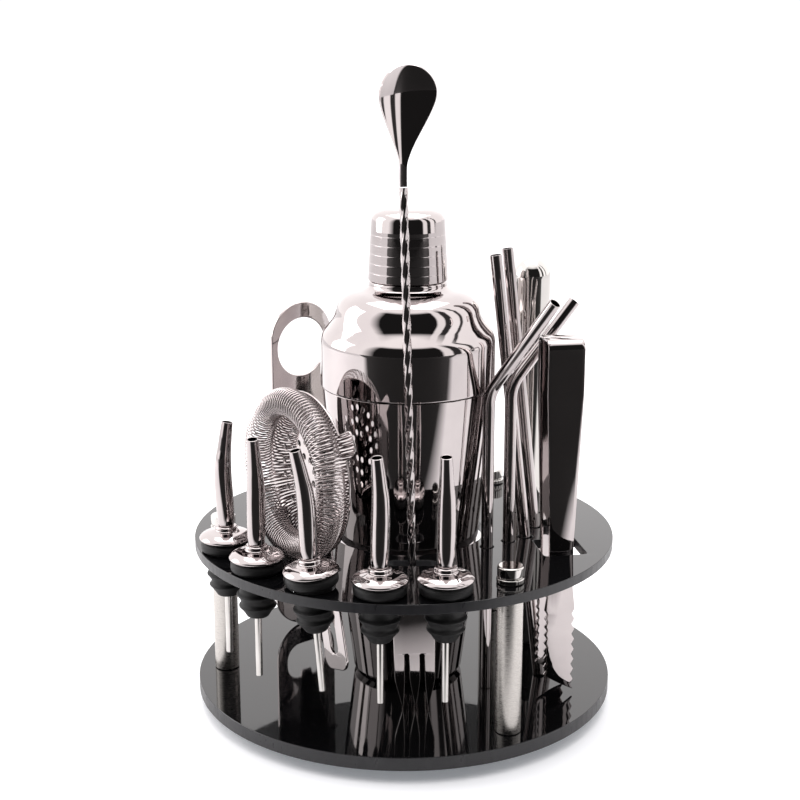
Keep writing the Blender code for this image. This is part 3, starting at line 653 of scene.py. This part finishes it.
def post_parts():
    r = POST_RADIUS / MM
    post = [(2.8, 62.2), (2.8, 71.2), (r, 71.2), (r, 0.3), (2.3, 0.3), (2.3, 9), (0, 9)]
    cap = [(0, 8.5), (r - 0.6, 8.5), (r, 8.0), (r, 3.6), (r - 0.7, 3.3), (r - 0.7, 2.9), (r + 0.3, 2.6),
           (r + 0.3, 0.3), (2.5, 0.3), (2.5, -13), (0, -13)]
    foot = [(0, 8), (2, 8), (2, -7.1), (4.5, -7.1), (4.5, -10.6), (4.05, -12.4), (2.7, -13.4), (0, -13.4)]
    for side, (x, y) in post_places().items():
        keep(lathe(f"stand_post_{side}", [(0, 62.2), *post], at(x, y), 64, 0.3),
             "stand", "brushed_steel", f"post_{side}")
        keep(lathe(f"stand_cap_{side}", cap, at(x, y, PLATE_RISE), 64, 0.5),
             "stand", "polished_steel", f"post_cap_{side}")
        keep(lathe(f"stand_foot_{side}", foot, at(x, y), 48, 0.4),
             "stand", "polished_steel", f"foot_{side}")


# ---------------------------------------------------------------- shaker

def cup_radius(height):
    share = height / (SEAM_HEIGHT / MM)
    return 28.0 + 20.0 * share - 4.4 * share * share


def shaker():
    place = at(*SHAKER_PLACE)
    cup(place)
    lid(place)
    cap(place)


def cup(place):
    wall = SHEET / MM
    heights = [154.7 - 151.7 * i / 24 for i in range(25)]
    outer = [(cup_radius(h), h) for h in heights]
    inner = [(cup_radius(h) - wall, h) for h in reversed(heights[:-1])]
    floor = [(0, 1.4), (24.5, 1.4), (cup_radius(4) - wall, 4)]
    foot = [(26.2, 0.5), (24, 0.3), (22.5, 0.9), (0, 0.9)]
    shell = lathe("shaker_cup_shell", [*floor, *inner, *outer, *foot], place, 160, 0.3)
    keep(shell, "shaker_cup", "gunmetal_chrome", "shaker_cup")


def lid(place):
    """Domed shell with a neck, and the sieve plate under the neck."""
    outer = [
        (16.6, 224), (16.6, 208.9), (19.6, 208.2), (19.6, 205.2), (22.5, 203.8), (28.5, 202.3),
        (33.2, 199.6), (35.8, 195.6), (36.8, 190.7), (38.2, 188), (40.6, 184.8), (43.2, 181.9),
        (44.3, 178.5), (44.3, 155.1), (42.3, 155.0), (41.3, 141),
    ]
    inner = [
        (40.6, 141), (41.2, 154), (43.3, 156.5), (43.3, 178), (42.3, 181.2), (39.8, 184),
        (37.3, 187.3), (35.9, 190.5), (34.9, 195.2), (32.6, 198.6), (28.2, 201.2), (20, 202.4),
        (15.6, 204.2), (15.6, 224),
    ]
    shell = lathe("shaker_lid_shell", outer + inner, place, 160, 2.4, closed=True, sharp=60)
    keep(shell, "shaker_lid", "gunmetal_chrome",
         "shaker_lid_skirt", "shaker_lid_shoulder", "shaker_lid_neck")
    sieve = [circle(15.7 * MM, 64), circle(SIEVE_HOLE_RADIUS, 16)]
    for holes, radius in SIEVE_RINGS:
        for i in range(holes):
            sieve.append(circle(SIEVE_HOLE_RADIUS, 16, on_circle(radius * MM, 360 * i / holes)))
    under_neck = place @ Matrix.Translation((0, 0, 204.9 * MM))
    plate = slab("shaker_lid_sieve", sieve, SHEET, 0.15 * MM, under_neck)
    keep(plate, "shaker_lid", "gunmetal_chrome", "shaker_lid_sieve")


def cap(place):
    """Cap with a low domed crown and five fine turned lines round its side."""
    crown = filleted([(0, 244.6), (12.5, 243.9), (18.1, 241.2), (18.75, 233.5)], 5.0, 10)
    side = []
    for height in CAP_GROOVES:
        radius = 18.7 + 1.5 * (234 - height) / 25.5
        for above, cut in ((0.4, 0), (0.12, 0), (0, CAP_GROOVE_DEPTH), (-0.12, 0), (-0.4, 0)):
            side.append((radius - cut, height + above))
    inside = [
        (20.2, 208.8), (19.9, 208.5), (19.3, 208.6), (17.6, 234),
        (16.2, 239), (13.4, 241.4), (8.6, 243), (0, 243.5),
    ]
    profile = [*[(point.x, point.y) for point in crown], *side, *inside]
    shell = lathe("shaker_cap_shell", profile, place, 128, 0.06, sharp=60)
    keep(shell, "shaker_cap", "gunmetal_chrome", "shaker_cap")


# ---------------------------------------------------------------- bar spoon

def spoon_place():
    return at(*SPOON_FOOT, 1.5 * MM) @ along(SPOON_LEAN)


def spoon():
    twisted_stem()
    bowl()
    fork()


def twisted_stem():
    """Square bar with rounded corners, twisted all the way up."""
    sides = 24
    steps = 280
    shape = bmesh.new()
    rings = []
    for k in range(steps + 1):
        height = STEM_START + (STEM_END - STEM_START) * k / steps
        spin = 360 * (height - STEM_START) / TWIST_PITCH
        ring = []
        for i in range(sides):
            x, y = on_circle(STEM_HALF_SIDE, 360 * i / sides)
            flatten = (abs(x / STEM_HALF_SIDE) ** 5 + abs(y / STEM_HALF_SIDE) ** 5) ** -0.2
            ring.append(shape.verts.new(turn(spin, "Z") @ Vector((x * flatten, y * flatten, height))))
        rings.append(ring)
    for low, high in zip(rings, rings[1:]):
        bridge(shape, low, high)
    shape.faces.new(rings[0])
    shape.faces.new(rings[-1])
    keep(piece("spoon_twisted_stem", shape, spoon_place(), 50), "spoon", "gunmetal_chrome", "spoon_stem")


def bowl():
    """Teardrop bowl on a slim neck. Its hollow faces forwards."""
    length = SPOON_LENGTH - STEM_END - 1.4 * MM
    outline = []
    for i in range(30):
        share = WIDE_SHARE * i / 30
        rise = max(0.0, (share - NECK_SHARE) / (WIDE_SHARE - NECK_SHARE))
        swell = 0.5 * rise + 0.5 * rise * rise * (3 - 2 * rise)
        outline.append((share, NECK_HALF_WIDTH + (BOWL_HALF_WIDTH - NECK_HALF_WIDTH) * swell))
    for i in range(1, 17):
        ahead, across = on_circle(1, 88 * (1 - i / 16))
        outline.append((WIDE_SHARE + (1 - WIDE_SHARE) * ahead, BOWL_HALF_WIDTH * across))
    rounded = sorted(set(outline))
    rows = []
    for share, half in rounded:
        dish = BOWL_DEPTH * min(1.0, half / BOWL_HALF_WIDTH) ** 1.5
        shift = BOWL_SHIFT * share * share * (3 - 2 * share)
        row = []
        for column in range(13):
            side = math.sin(math.radians(-90 + 15 * column))
            row.append(Vector((half * side + shift, dish * (1 - side * side) - dish / 2, share * length)))
        rows.append(row)
    place = spoon_place() @ Matrix.Translation((0, 0, STEM_END + GAP)) @ turn(BOWL_YAW, "Z")
    keep(sheet_grid("spoon_bowl_sheet", rows, 1.1 * MM, place), "spoon", "gunmetal_chrome", "spoon_bowl")


def fork():
    wide = FORK_HALF_WIDTH
    pitch = (2 * wide + TINE_SLOT) / 3
    palm = TINE_LENGTH + 18 * MM
    neck = STEM_START - GAP
    right_side = [
        Vector((wide * 0.98, 14 * MM, 0)),
        Vector((wide, TINE_LENGTH, 0)),
        Vector((wide, palm - 6 * MM, 0)),
        Vector((wide * 0.88, palm, 0)),
        Vector((3.2 * MM, palm + 7 * MM, 0)),
        Vector((1.8 * MM, neck, 0)),
    ]
    outline = [*right_side, *[Vector((-p.x, p.y, 0)) for p in reversed(right_side)]]
    for tine in range(3):
        left = -wide + tine * pitch
        right = left + pitch - TINE_SLOT
        tip = (left + right) / 2 + (1 - tine) * 1.2 * MM
        outline += [
            Vector((tip - 0.6 * MM, 1.2 * MM, 0)),
            Vector((tip, 0, 0)),
            Vector((tip + 0.6 * MM, 1.2 * MM, 0)),
        ]
        if tine < 2:
            outline += [
                Vector((right, 14 * MM, 0)),
                Vector((right, TINE_LENGTH - 1 * MM, 0)),
                Vector((right + TINE_SLOT / 2, TINE_LENGTH, 0)),
                Vector((right + TINE_SLOT, TINE_LENGTH - 1 * MM, 0)),
                Vector((right + TINE_SLOT, 14 * MM, 0)),
            ]
    smooth = filleted(outline, 2.5 * MM, 5, closed=True)
    shape = slab("spoon_fork_blade", [smooth], 1.6 * MM, 0.45 * MM, spoon_place() @ turn(90, "X"))
    keep(shape, "spoon", "gunmetal_chrome", "spoon_fork")


# ---------------------------------------------------------------- pourers

def pourer_place(number):
    x, y = on_circle(POURER_CIRCLE, POURER_ANGLES[number])
    tilt = POURER_TILTS[number]
    raised = COLLAR_RADIUS * math.sin(math.radians(tilt))
    level = at(x, y, PLATE_RISE + raised)
    return level @ turn(POURER_TILT_DIRECTION, "Z") @ turn(tilt, "Y") @ turn(-POURER_TILT_DIRECTION, "Z")


def pourers():
    stopper = [
        (0, -8.5), (3.9, -8.5), (3.9, 5.6), (11.6, 5.6), (12.8, 4.2), (12.8, 1.6), (12.0, 0.4), (9.2, 0.3),
        (8.4, -8.2), (8.7, -10.2), (10.4, -11.6), (8.5, -14.2), (7.9, -15.9), (9.4, -17.5), (7.2, -20.0),
        (6.4, -21.2), (5.2, -23.2), (2.1, -23.2), (2.1, -14), (0, -14),
    ]
    collar = [
        (0, 13.2), (5.0, 13.2), (5.7, 12.4), (5.3, 11.2), (7.0, 10.6), (9.8, 9.9), (12.2, 8.8), (13.7, 7.2),
        (12.8, 6.0), (3.6, 5.9), (3.6, -8.0), (0, -8.0),
    ]
    route = [(0, 13.4), (0, 18), (-0.5, 28), (-0.9, 38), (-0.7, 46), (0, 52), (0.9, 59), (2.0, 66.3)]
    radii = [3.9, 4.3, 4.5, 4.4, 4.1, 3.6, 3.2, 2.8]
    curve = smooth_path([(x * MM, r * MM, z * MM) for (x, z), r in zip(route, radii)])
    for number, lean in enumerate(POURER_LEAN_DIRECTIONS):
        name = f"pourer_{number + 1}"
        place = pourer_place(number)
        keep(lathe(f"{name}_rubber", stopper, place, 64, 0.7), name, "black_rubber", f"{name}_stopper")
        keep(lathe(f"{name}_dome", collar, place, 80, 0.8), name, "gunmetal_chrome", f"{name}_collar")
        spout = pipe(f"{name}_tube", [(p.x, 0, p.z) for p in curve], [p.y for p in curve], 0.45 * MM,
                     place @ turn(lean, "Z"))
        keep(spout, name, "gunmetal_chrome", f"{name}_spout")
        straight = [(0, 0, -54.5 * MM), (0, 0, -35 * MM), (0, 0, -15.5 * MM)]
        vent = pipe(f"{name}_vent", straight, [1.7 * MM] * 3, 0.35 * MM, place, 20)
        keep(vent, name, "polished_steel", f"{name}_vent_tube")


# ---------------------------------------------------------------- strainer

def strainer_place():
    x, y, height = STRAINER_CENTRE
    return at(x, y, height) @ turn(STRAINER_YAW, "Z") @ turn(STRAINER_LEAN, "Y")


def strainer():
    ear_half_angle = math.degrees(EAR_HALF_WIDTH / DISC_RADIUS)
    stops = [(a, DISC_RADIUS) for a in range(0, 360, 3)
             if all(abs(a - ear) > ear_half_angle + 2 for ear in EAR_ANGLES)]
    for ear in EAR_ANGLES:
        for share, radius in ((1, DISC_RADIUS), (0.78, EAR_RADIUS - 3 * MM), (0.6, EAR_RADIUS - 0.6 * MM),
                              (0.3, EAR_RADIUS)):
            stops += [(ear - ear_half_angle * share, radius), (ear + ear_half_angle * share, radius)]
    outlines = [[Vector((*on_circle(radius, angle), 0)) for angle, radius in sorted(stops)]]
    for holes, radius in ((8, 8), (14, 15), (20, 22)):
        outlines += [circle(1.7 * MM, 16, on_circle(radius * MM, 360 * i / holes)) for i in range(holes)]
    disc = slab("strainer_plate", outlines, 1.0 * MM, 0.25 * MM, strainer_place() @ turn(90, "X"))
    keep(disc, "strainer", "gunmetal_chrome", "strainer_disc")

    length = HANDLE_END - HANDLE_START
    outline = rounded_box(2 * HANDLE_HALF_WIDTH, length, 6 * MM)
    hole = rounded_box(7 * MM, 16 * MM, 3.5 * MM, (0, -length / 2 + 16 * MM))
    middle = Matrix.Translation((0, 1.6 * MM, -(HANDLE_START + HANDLE_END) / 2))
    upright = strainer_place() @ middle @ turn(90, "X")
    handle = slab("strainer_strip", [outline, hole], 1.6 * MM, 0.45 * MM, upright)
    keep(handle, "strainer", "gunmetal_chrome", "strainer_handle")
    coil()


def coil():
    """One thin wire wound round the ring, joined into a closed loop."""
    front = 0.8 * MM + COIL_RADIUS
    wound = COIL_RADIUS - WIRE_RADIUS
    points = []
    steps = COIL_TURNS * STEPS_PER_TURN
    for k in range(steps):
        across, deep = on_circle(wound, 360 * k / STEPS_PER_TURN)
        spin = 360 * k / steps
        x, z = on_circle(COIL_RING_RADIUS + across, spin)
        points.append(Vector((x, -front + deep, z)))
    frames = frames_along(points, closed=True)
    shape = bmesh.new()
    rings = [ring_at(shape, p, f, WIRE_RADIUS, WIRE_SIDES) for p, f in zip(points, frames)]
    for low, high in zip(rings, rings[1:] + rings[:1]):
        nearest = min(range(WIRE_SIDES), key=lambda i: (high[i].co - low[0].co).length)
        bridge(shape, low, high[nearest:] + high[:nearest])
    wire = piece("strainer_coil", shape, strainer_place(), 80)
    keep(wire, "strainer", "gunmetal_chrome", "strainer_spring")


# ---------------------------------------------------------------- opener and muddler

def opener():
    outline = rounded_box(OPENER_WIDTH, OPENER_LENGTH, OPENER_WIDTH / 2 - 0.5 * MM, pieces=24)
    finger_hole = circle(FINGER_HOLE_RADIUS, 96, (0, OPENER_LENGTH / 2 - FINGER_HOLE_FROM_TOP))
    middle = -OPENER_LENGTH / 2 + LIFTER_FROM_BOTTOM
    lifter = rounded_box(*LIFTER_SIZE, 9 * MM, (0, middle))
    base = middle + LIFTER_SIZE[1] / 2
    tooth = [Vector((x * MM, base - down * MM, 0)) for x, down in ((4, 0), (3, 4), (-3, 4), (-4, 0))]
    top = max(range(len(lifter)), key=lambda i: (round(lifter[i].y / MM, 3), lifter[i].x))
    lifter = lifter[:top + 1] + tooth + lifter[top + 1:]
    place = at(*OPENER_PLACE, OPENER_LENGTH / 2 + GAP) @ turn(OPENER_YAW, "Z") @ turn(90, "X")
    blade = slab("opener_blade", [outline, finger_hole, lifter], 2 * MM, 0.5 * MM, place)
    keep(blade, "opener", "gunmetal_chrome", "bottle_opener")


def muddler():
    r = MUDDLER_RADIUS / MM
    top = MUDDLER_LENGTH / MM
    head = MUDDLER_HEAD / MM
    dome = []
    for k in range(13):
        up, out = on_circle(r, 90 * k / 12)
        dome.append((out, top - r + up))
    lower_end = [(r, head + 1.0), (r - 0.4, head + 0.4), (4.3, head + 0.3)]
    socket = [(4.3, head + 12.8), (0, head + 12.8)]
    bar = lathe("muddler_bar", [*dome, *lower_end, *socket], at(*MUDDLER_PLACE), 80, 0.4)
    keep(bar, "muddler", "polished_steel", "muddler_handle")
    peg = [(0, head + 12), (4, head + 12), (4, head), (r, head)]
    groove = [(r, 26), (r - 0.7, 25.4), (r - 0.7, 24.6), (r, 24)]
    face = [(r, 2.5), (r - 1.8, 0.3), (r - 3.2, 0.3), (r - 4.2, 1.6), (r - 5.2, 0.3), (r - 6.4, 0.3),
            (r - 7.4, 1.6), (0, 1.6)]
    foot = lathe("muddler_foot", [*peg, *groove, *face], at(*MUDDLER_PLACE), 80, 0.4)
    keep(foot, "muddler", "black_nylon", "muddler_head")


# ---------------------------------------------------------------- tongs

def tongs_place():
    return at(*TONGS_PLACE) @ turn(TONGS_YAW, "Z")


def tongs():
    """Each half of the bow and its leg are one strip, built in one fixed shape."""
    for side, end in ((-1, "near"), (1, "far")):
        rows = bow_rows(side) + leg_rows(side)
        strip = sheet_grid(f"tongs_{end}_strip", rows, TONGS_THICKNESS, tongs_place(), 0)
        strip.data.materials.append(FINISHES["gunmetal_chrome"])
        strip = with_modifiers_applied(strip)
        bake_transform(strip)
        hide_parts(f"tongs_{end}_leg", "tongs_bow")


def with_modifiers_applied(thing):
    name = thing.name
    graph = bpy.context.evaluated_depsgraph_get()
    mesh = bpy.data.meshes.new_from_object(thing.evaluated_get(graph))
    mesh.transform(thing.matrix_world)
    bpy.data.objects.remove(thing)
    made = bpy.data.objects.new(name, mesh)
    bpy.context.scene.collection.objects.link(made)
    return made


def bow_rows(side):
    """From the middle of the bow's top to where its leg starts."""
    route = [(0, TONGS_TOP), (side * (TONGS_HALF_GAP - TONGS_BEND) * 0.5, TONGS_TOP)]
    for i in range(9):
        y, z = on_circle(TONGS_BEND, 90 - 90 * i / 8)
        route.append((side * (TONGS_HALF_GAP - TONGS_BEND + y), TONGS_TOP - TONGS_BEND + z))
    for i in range(1, 6):
        route.append((side * TONGS_HALF_GAP, TONGS_TOP - TONGS_BEND - 3.7 * MM * i))
    return [[Vector((TONGS_HALF_WIDTH_TOP * (1 - i / 4), y, z)) for i in range(9)][::-1] for y, z in route]


def leg_rows(side):
    """A leg narrows to its waist, then opens into a toothed trough with a slanted end."""
    rows = []
    bottom = CLAW_TOP - TONGS_FOOT
    taper = TONGS_BOW_START - TONGS_WAIST_HEIGHT
    stations = [(TONGS_BOW_START - GAP - taper * i / 16, 0) for i in range(17)]
    stations += [(TONGS_WAIST_HEIGHT - 12 * MM, 0), (TONGS_WAIST_HEIGHT - 20 * MM, 0.1)]
    for half_tooth in range(2 * CLAW_TEETH + 1):
        stations.append((CLAW_TOP - bottom * half_tooth / (2 * CLAW_TEETH), 1 - half_tooth % 2))
    for height, out in stations:
        if height > TONGS_WAIST_HEIGHT:
            share = (height - TONGS_WAIST_HEIGHT) / taper
            wide = TONGS_HALF_WIDTH_WAIST + (TONGS_HALF_WIDTH_TOP - TONGS_HALF_WIDTH_WAIST) * share
            trough = WAIST_TROUGH * (1 - share)
        elif height > CLAW_TOP:
            wide = TONGS_HALF_WIDTH_WAIST
            trough = WAIST_TROUGH
        else:
            wide = TONGS_HALF_WIDTH_CLAW - CLAW_TOOTH * (1 - out)
            trough = TROUGH_DEPTH
        row = []
        for i in range(9):
            across = i / 4 - 1
            lifted = height
            if height < CLAW_TOP:
                slant = TONGS_SLANT * (1 - across) / 2
                lifted = TONGS_FOOT + slant + (height - TONGS_FOOT) * (bottom - slant) / bottom
            row.append(Vector((wide * across, side * (TONGS_HALF_GAP - trough * across * across), lifted)))
        rows.append(row)
    return rows


# ---------------------------------------------------------------- straws

def straws():
    for side, (foot, elbow_height, tip) in BENT_STRAWS.items():
        corner = Vector((0, 0, elbow_height))
        out = (Vector(tip) - corner).normalized()
        first = corner - Vector((0, 0, ELBOW_RADIUS / 2))
        last = corner + out * ELBOW_RADIUS / 2
        bend = []
        for i in range(15):
            t = i / 14
            bend.append(first * (1 - t) ** 2 + corner * 2 * t * (1 - t) + last * t * t)
        route = [Vector((0, 0, STRAW_FOOT)), *bend, Vector(tip)]
        straw = pipe(f"straw_bent_{side}_tube", route, [STRAW_RADIUS] * len(route), STRAW_WALL, at(*foot))
        keep(straw, f"straw_bent_{side}", "gunmetal_chrome", f"bent_straw_{side}")
    for side, (crossing, slope) in STRAIGHT_STRAWS.items():
        rise = PLATE_RISE - UPPER_THICKNESS / 2 - STRAW_FOOT
        place = at(crossing[0] - slope[0] * rise, crossing[1] - slope[1] * rise, STRAW_FOOT + 0.4 * MM)
        route = [(0, 0, STRAIGHT_STRAW_LENGTH * i / 4) for i in range(5)]
        straw = pipe(f"straw_straight_{side}_tube", route, [STRAW_RADIUS] * 5, STRAW_WALL,
                     place @ along(Vector((*slope, 1))))
        keep(straw, f"straw_straight_{side}", "gunmetal_chrome", f"straight_straw_{side}")


# ---------------------------------------------------------------- studio

def studio_world():
    """White all round, with a dark room behind the camera and a few dark gaps at the right."""
    world = bpy.data.worlds.new("studio")
    world.use_nodes = True
    bpy.context.scene.world = world
    tree = world.node_tree
    link = tree.links.new
    background = tree.nodes["Background"]
    place = add_node(tree, "ShaderNodeTexCoord")
    parts = add_node(tree, "ShaderNodeSeparateXYZ")
    link(place.outputs["Generated"], parts.inputs["Vector"])

    minus = add_node(tree, "ShaderNodeMath", "MULTIPLY")
    minus.inputs[1].default_value = -1
    link(parts.outputs["Y"], minus.inputs[0])
    angle = add_node(tree, "ShaderNodeMath", "ARCTAN2")
    link(parts.outputs["X"], angle.inputs[0])
    link(minus.outputs[0], angle.inputs[1])
    turns = add_node(tree, "ShaderNodeMapRange")
    turns.inputs["From Min"].default_value = -math.pi
    turns.inputs["From Max"].default_value = math.pi
    link(angle.outputs[0], turns.inputs["Value"])
    around = add_node(tree, "ShaderNodeValToRGB")
    stops = around.color_ramp.elements
    while len(stops) > 1:
        stops.remove(stops[-1])
    for number, (position, light) in enumerate(ROOM_BANDS):
        stop = stops.new(position) if number else stops[0]
        stop.position = position
        stop.color = (light, light, light, 1)
    link(turns.outputs["Result"], around.inputs["Fac"])

    overhead = add_node(tree, "ShaderNodeMapRange")
    overhead.inputs["From Min"].default_value = OVERHEAD_START
    overhead.inputs["From Max"].default_value = OVERHEAD_END
    link(parts.outputs["Z"], overhead.inputs["Value"])
    lit = add_colour_mix(tree)
    link(overhead.outputs["Result"], lit.inputs[MIX_FACTOR])
    link(around.outputs["Color"], lit.inputs[MIX_FIRST])
    lit.inputs[MIX_SECOND].default_value = (1, 1, 1, 1)
    tint = add_colour_mix(tree, "MULTIPLY")
    tint.inputs[MIX_FACTOR].default_value = 1
    link(lit.outputs[MIX_RESULT], tint.inputs[MIX_FIRST])
    tint.inputs[MIX_SECOND].default_value = ROOM_TINT
    seen = add_node(tree, "ShaderNodeLightPath")
    choose = add_colour_mix(tree)
    link(seen.outputs["Is Camera Ray"], choose.inputs[MIX_FACTOR])
    link(tint.outputs[MIX_RESULT], choose.inputs[MIX_FIRST])
    choose.inputs[MIX_SECOND].default_value = BACKDROP
    link(choose.outputs[MIX_RESULT], background.inputs["Color"])
    background.inputs["Strength"].default_value = ROOM_STRENGTH


def area_light(name, place, aim, size, power, colour=(1, 1, 1)):
    lamp = bpy.data.lights.new(name, "AREA")
    lamp.shape = "RECTANGLE"
    lamp.size, lamp.size_y = size
    lamp.energy = power
    lamp.color = colour
    thing = bpy.data.objects.new(name, lamp)
    bpy.context.scene.collection.objects.link(thing)
    thing.location = place
    thing.rotation_euler = (Vector(aim) - Vector(place)).to_track_quat("-Z", "Y").to_euler()


def studio():
    shape = bmesh.new()
    bmesh.ops.create_grid(shape, x_segments=4, y_segments=4, size=12)
    floor = piece("studio_floor", shape, Matrix.Identity(4))
    floor.data.materials.append(studio_floor())
    studio_world()
    area_light("top", (0, 0.3, 1.4), (0, 0, 0), (1.2, 1.0), 10)
    area_light("left", (-1.2, 0.25, 0.6), (0, 0, 0.12), (0.7, 0.9), 6, (1.0, 0.98, 0.98))
    camera = bpy.data.objects.new("camera", bpy.data.cameras.new("camera"))
    camera.data.lens = CAMERA_LENS
    camera.data.clip_start = 0.01
    camera.location = CAMERA_PLACE
    camera.rotation_euler = (math.radians(CAMERA_TILT), 0, 0)
    bpy.context.scene.collection.objects.link(camera)
    bpy.context.scene.camera = camera
    bpy.context.scene.view_settings.view_transform = "Standard"


FINISHES = {
    "black_acrylic": acrylic_sheet(),
    "black_rubber": soft_black("black rubber", (0.012, 0.012, 0.013), (0.006, 0.006, 0.006), 0.5, 0.7, 900),
    "black_nylon": soft_black("black nylon", (0.03, 0.03, 0.03), (0.02, 0.02, 0.02), 0.4, 0.55, 1400),
    "gunmetal_chrome": plated_metal("gunmetal chrome", (0.50, 0.46, 0.455), (0.45, 0.41, 0.41), 0.02, 0.06),
    "brushed_steel": brushed_metal("brushed steel", (0.60, 0.57, 0.54), (0.44, 0.42, 0.40)),
    "polished_steel": plated_metal("polished steel", (0.62, 0.60, 0.58), (0.54, 0.52, 0.50), 0.03, 0.09),
}

plates()
post_parts()
shaker()
spoon()
pourers()
strainer()
opener()
muddler()
tongs()
straws()
studio()
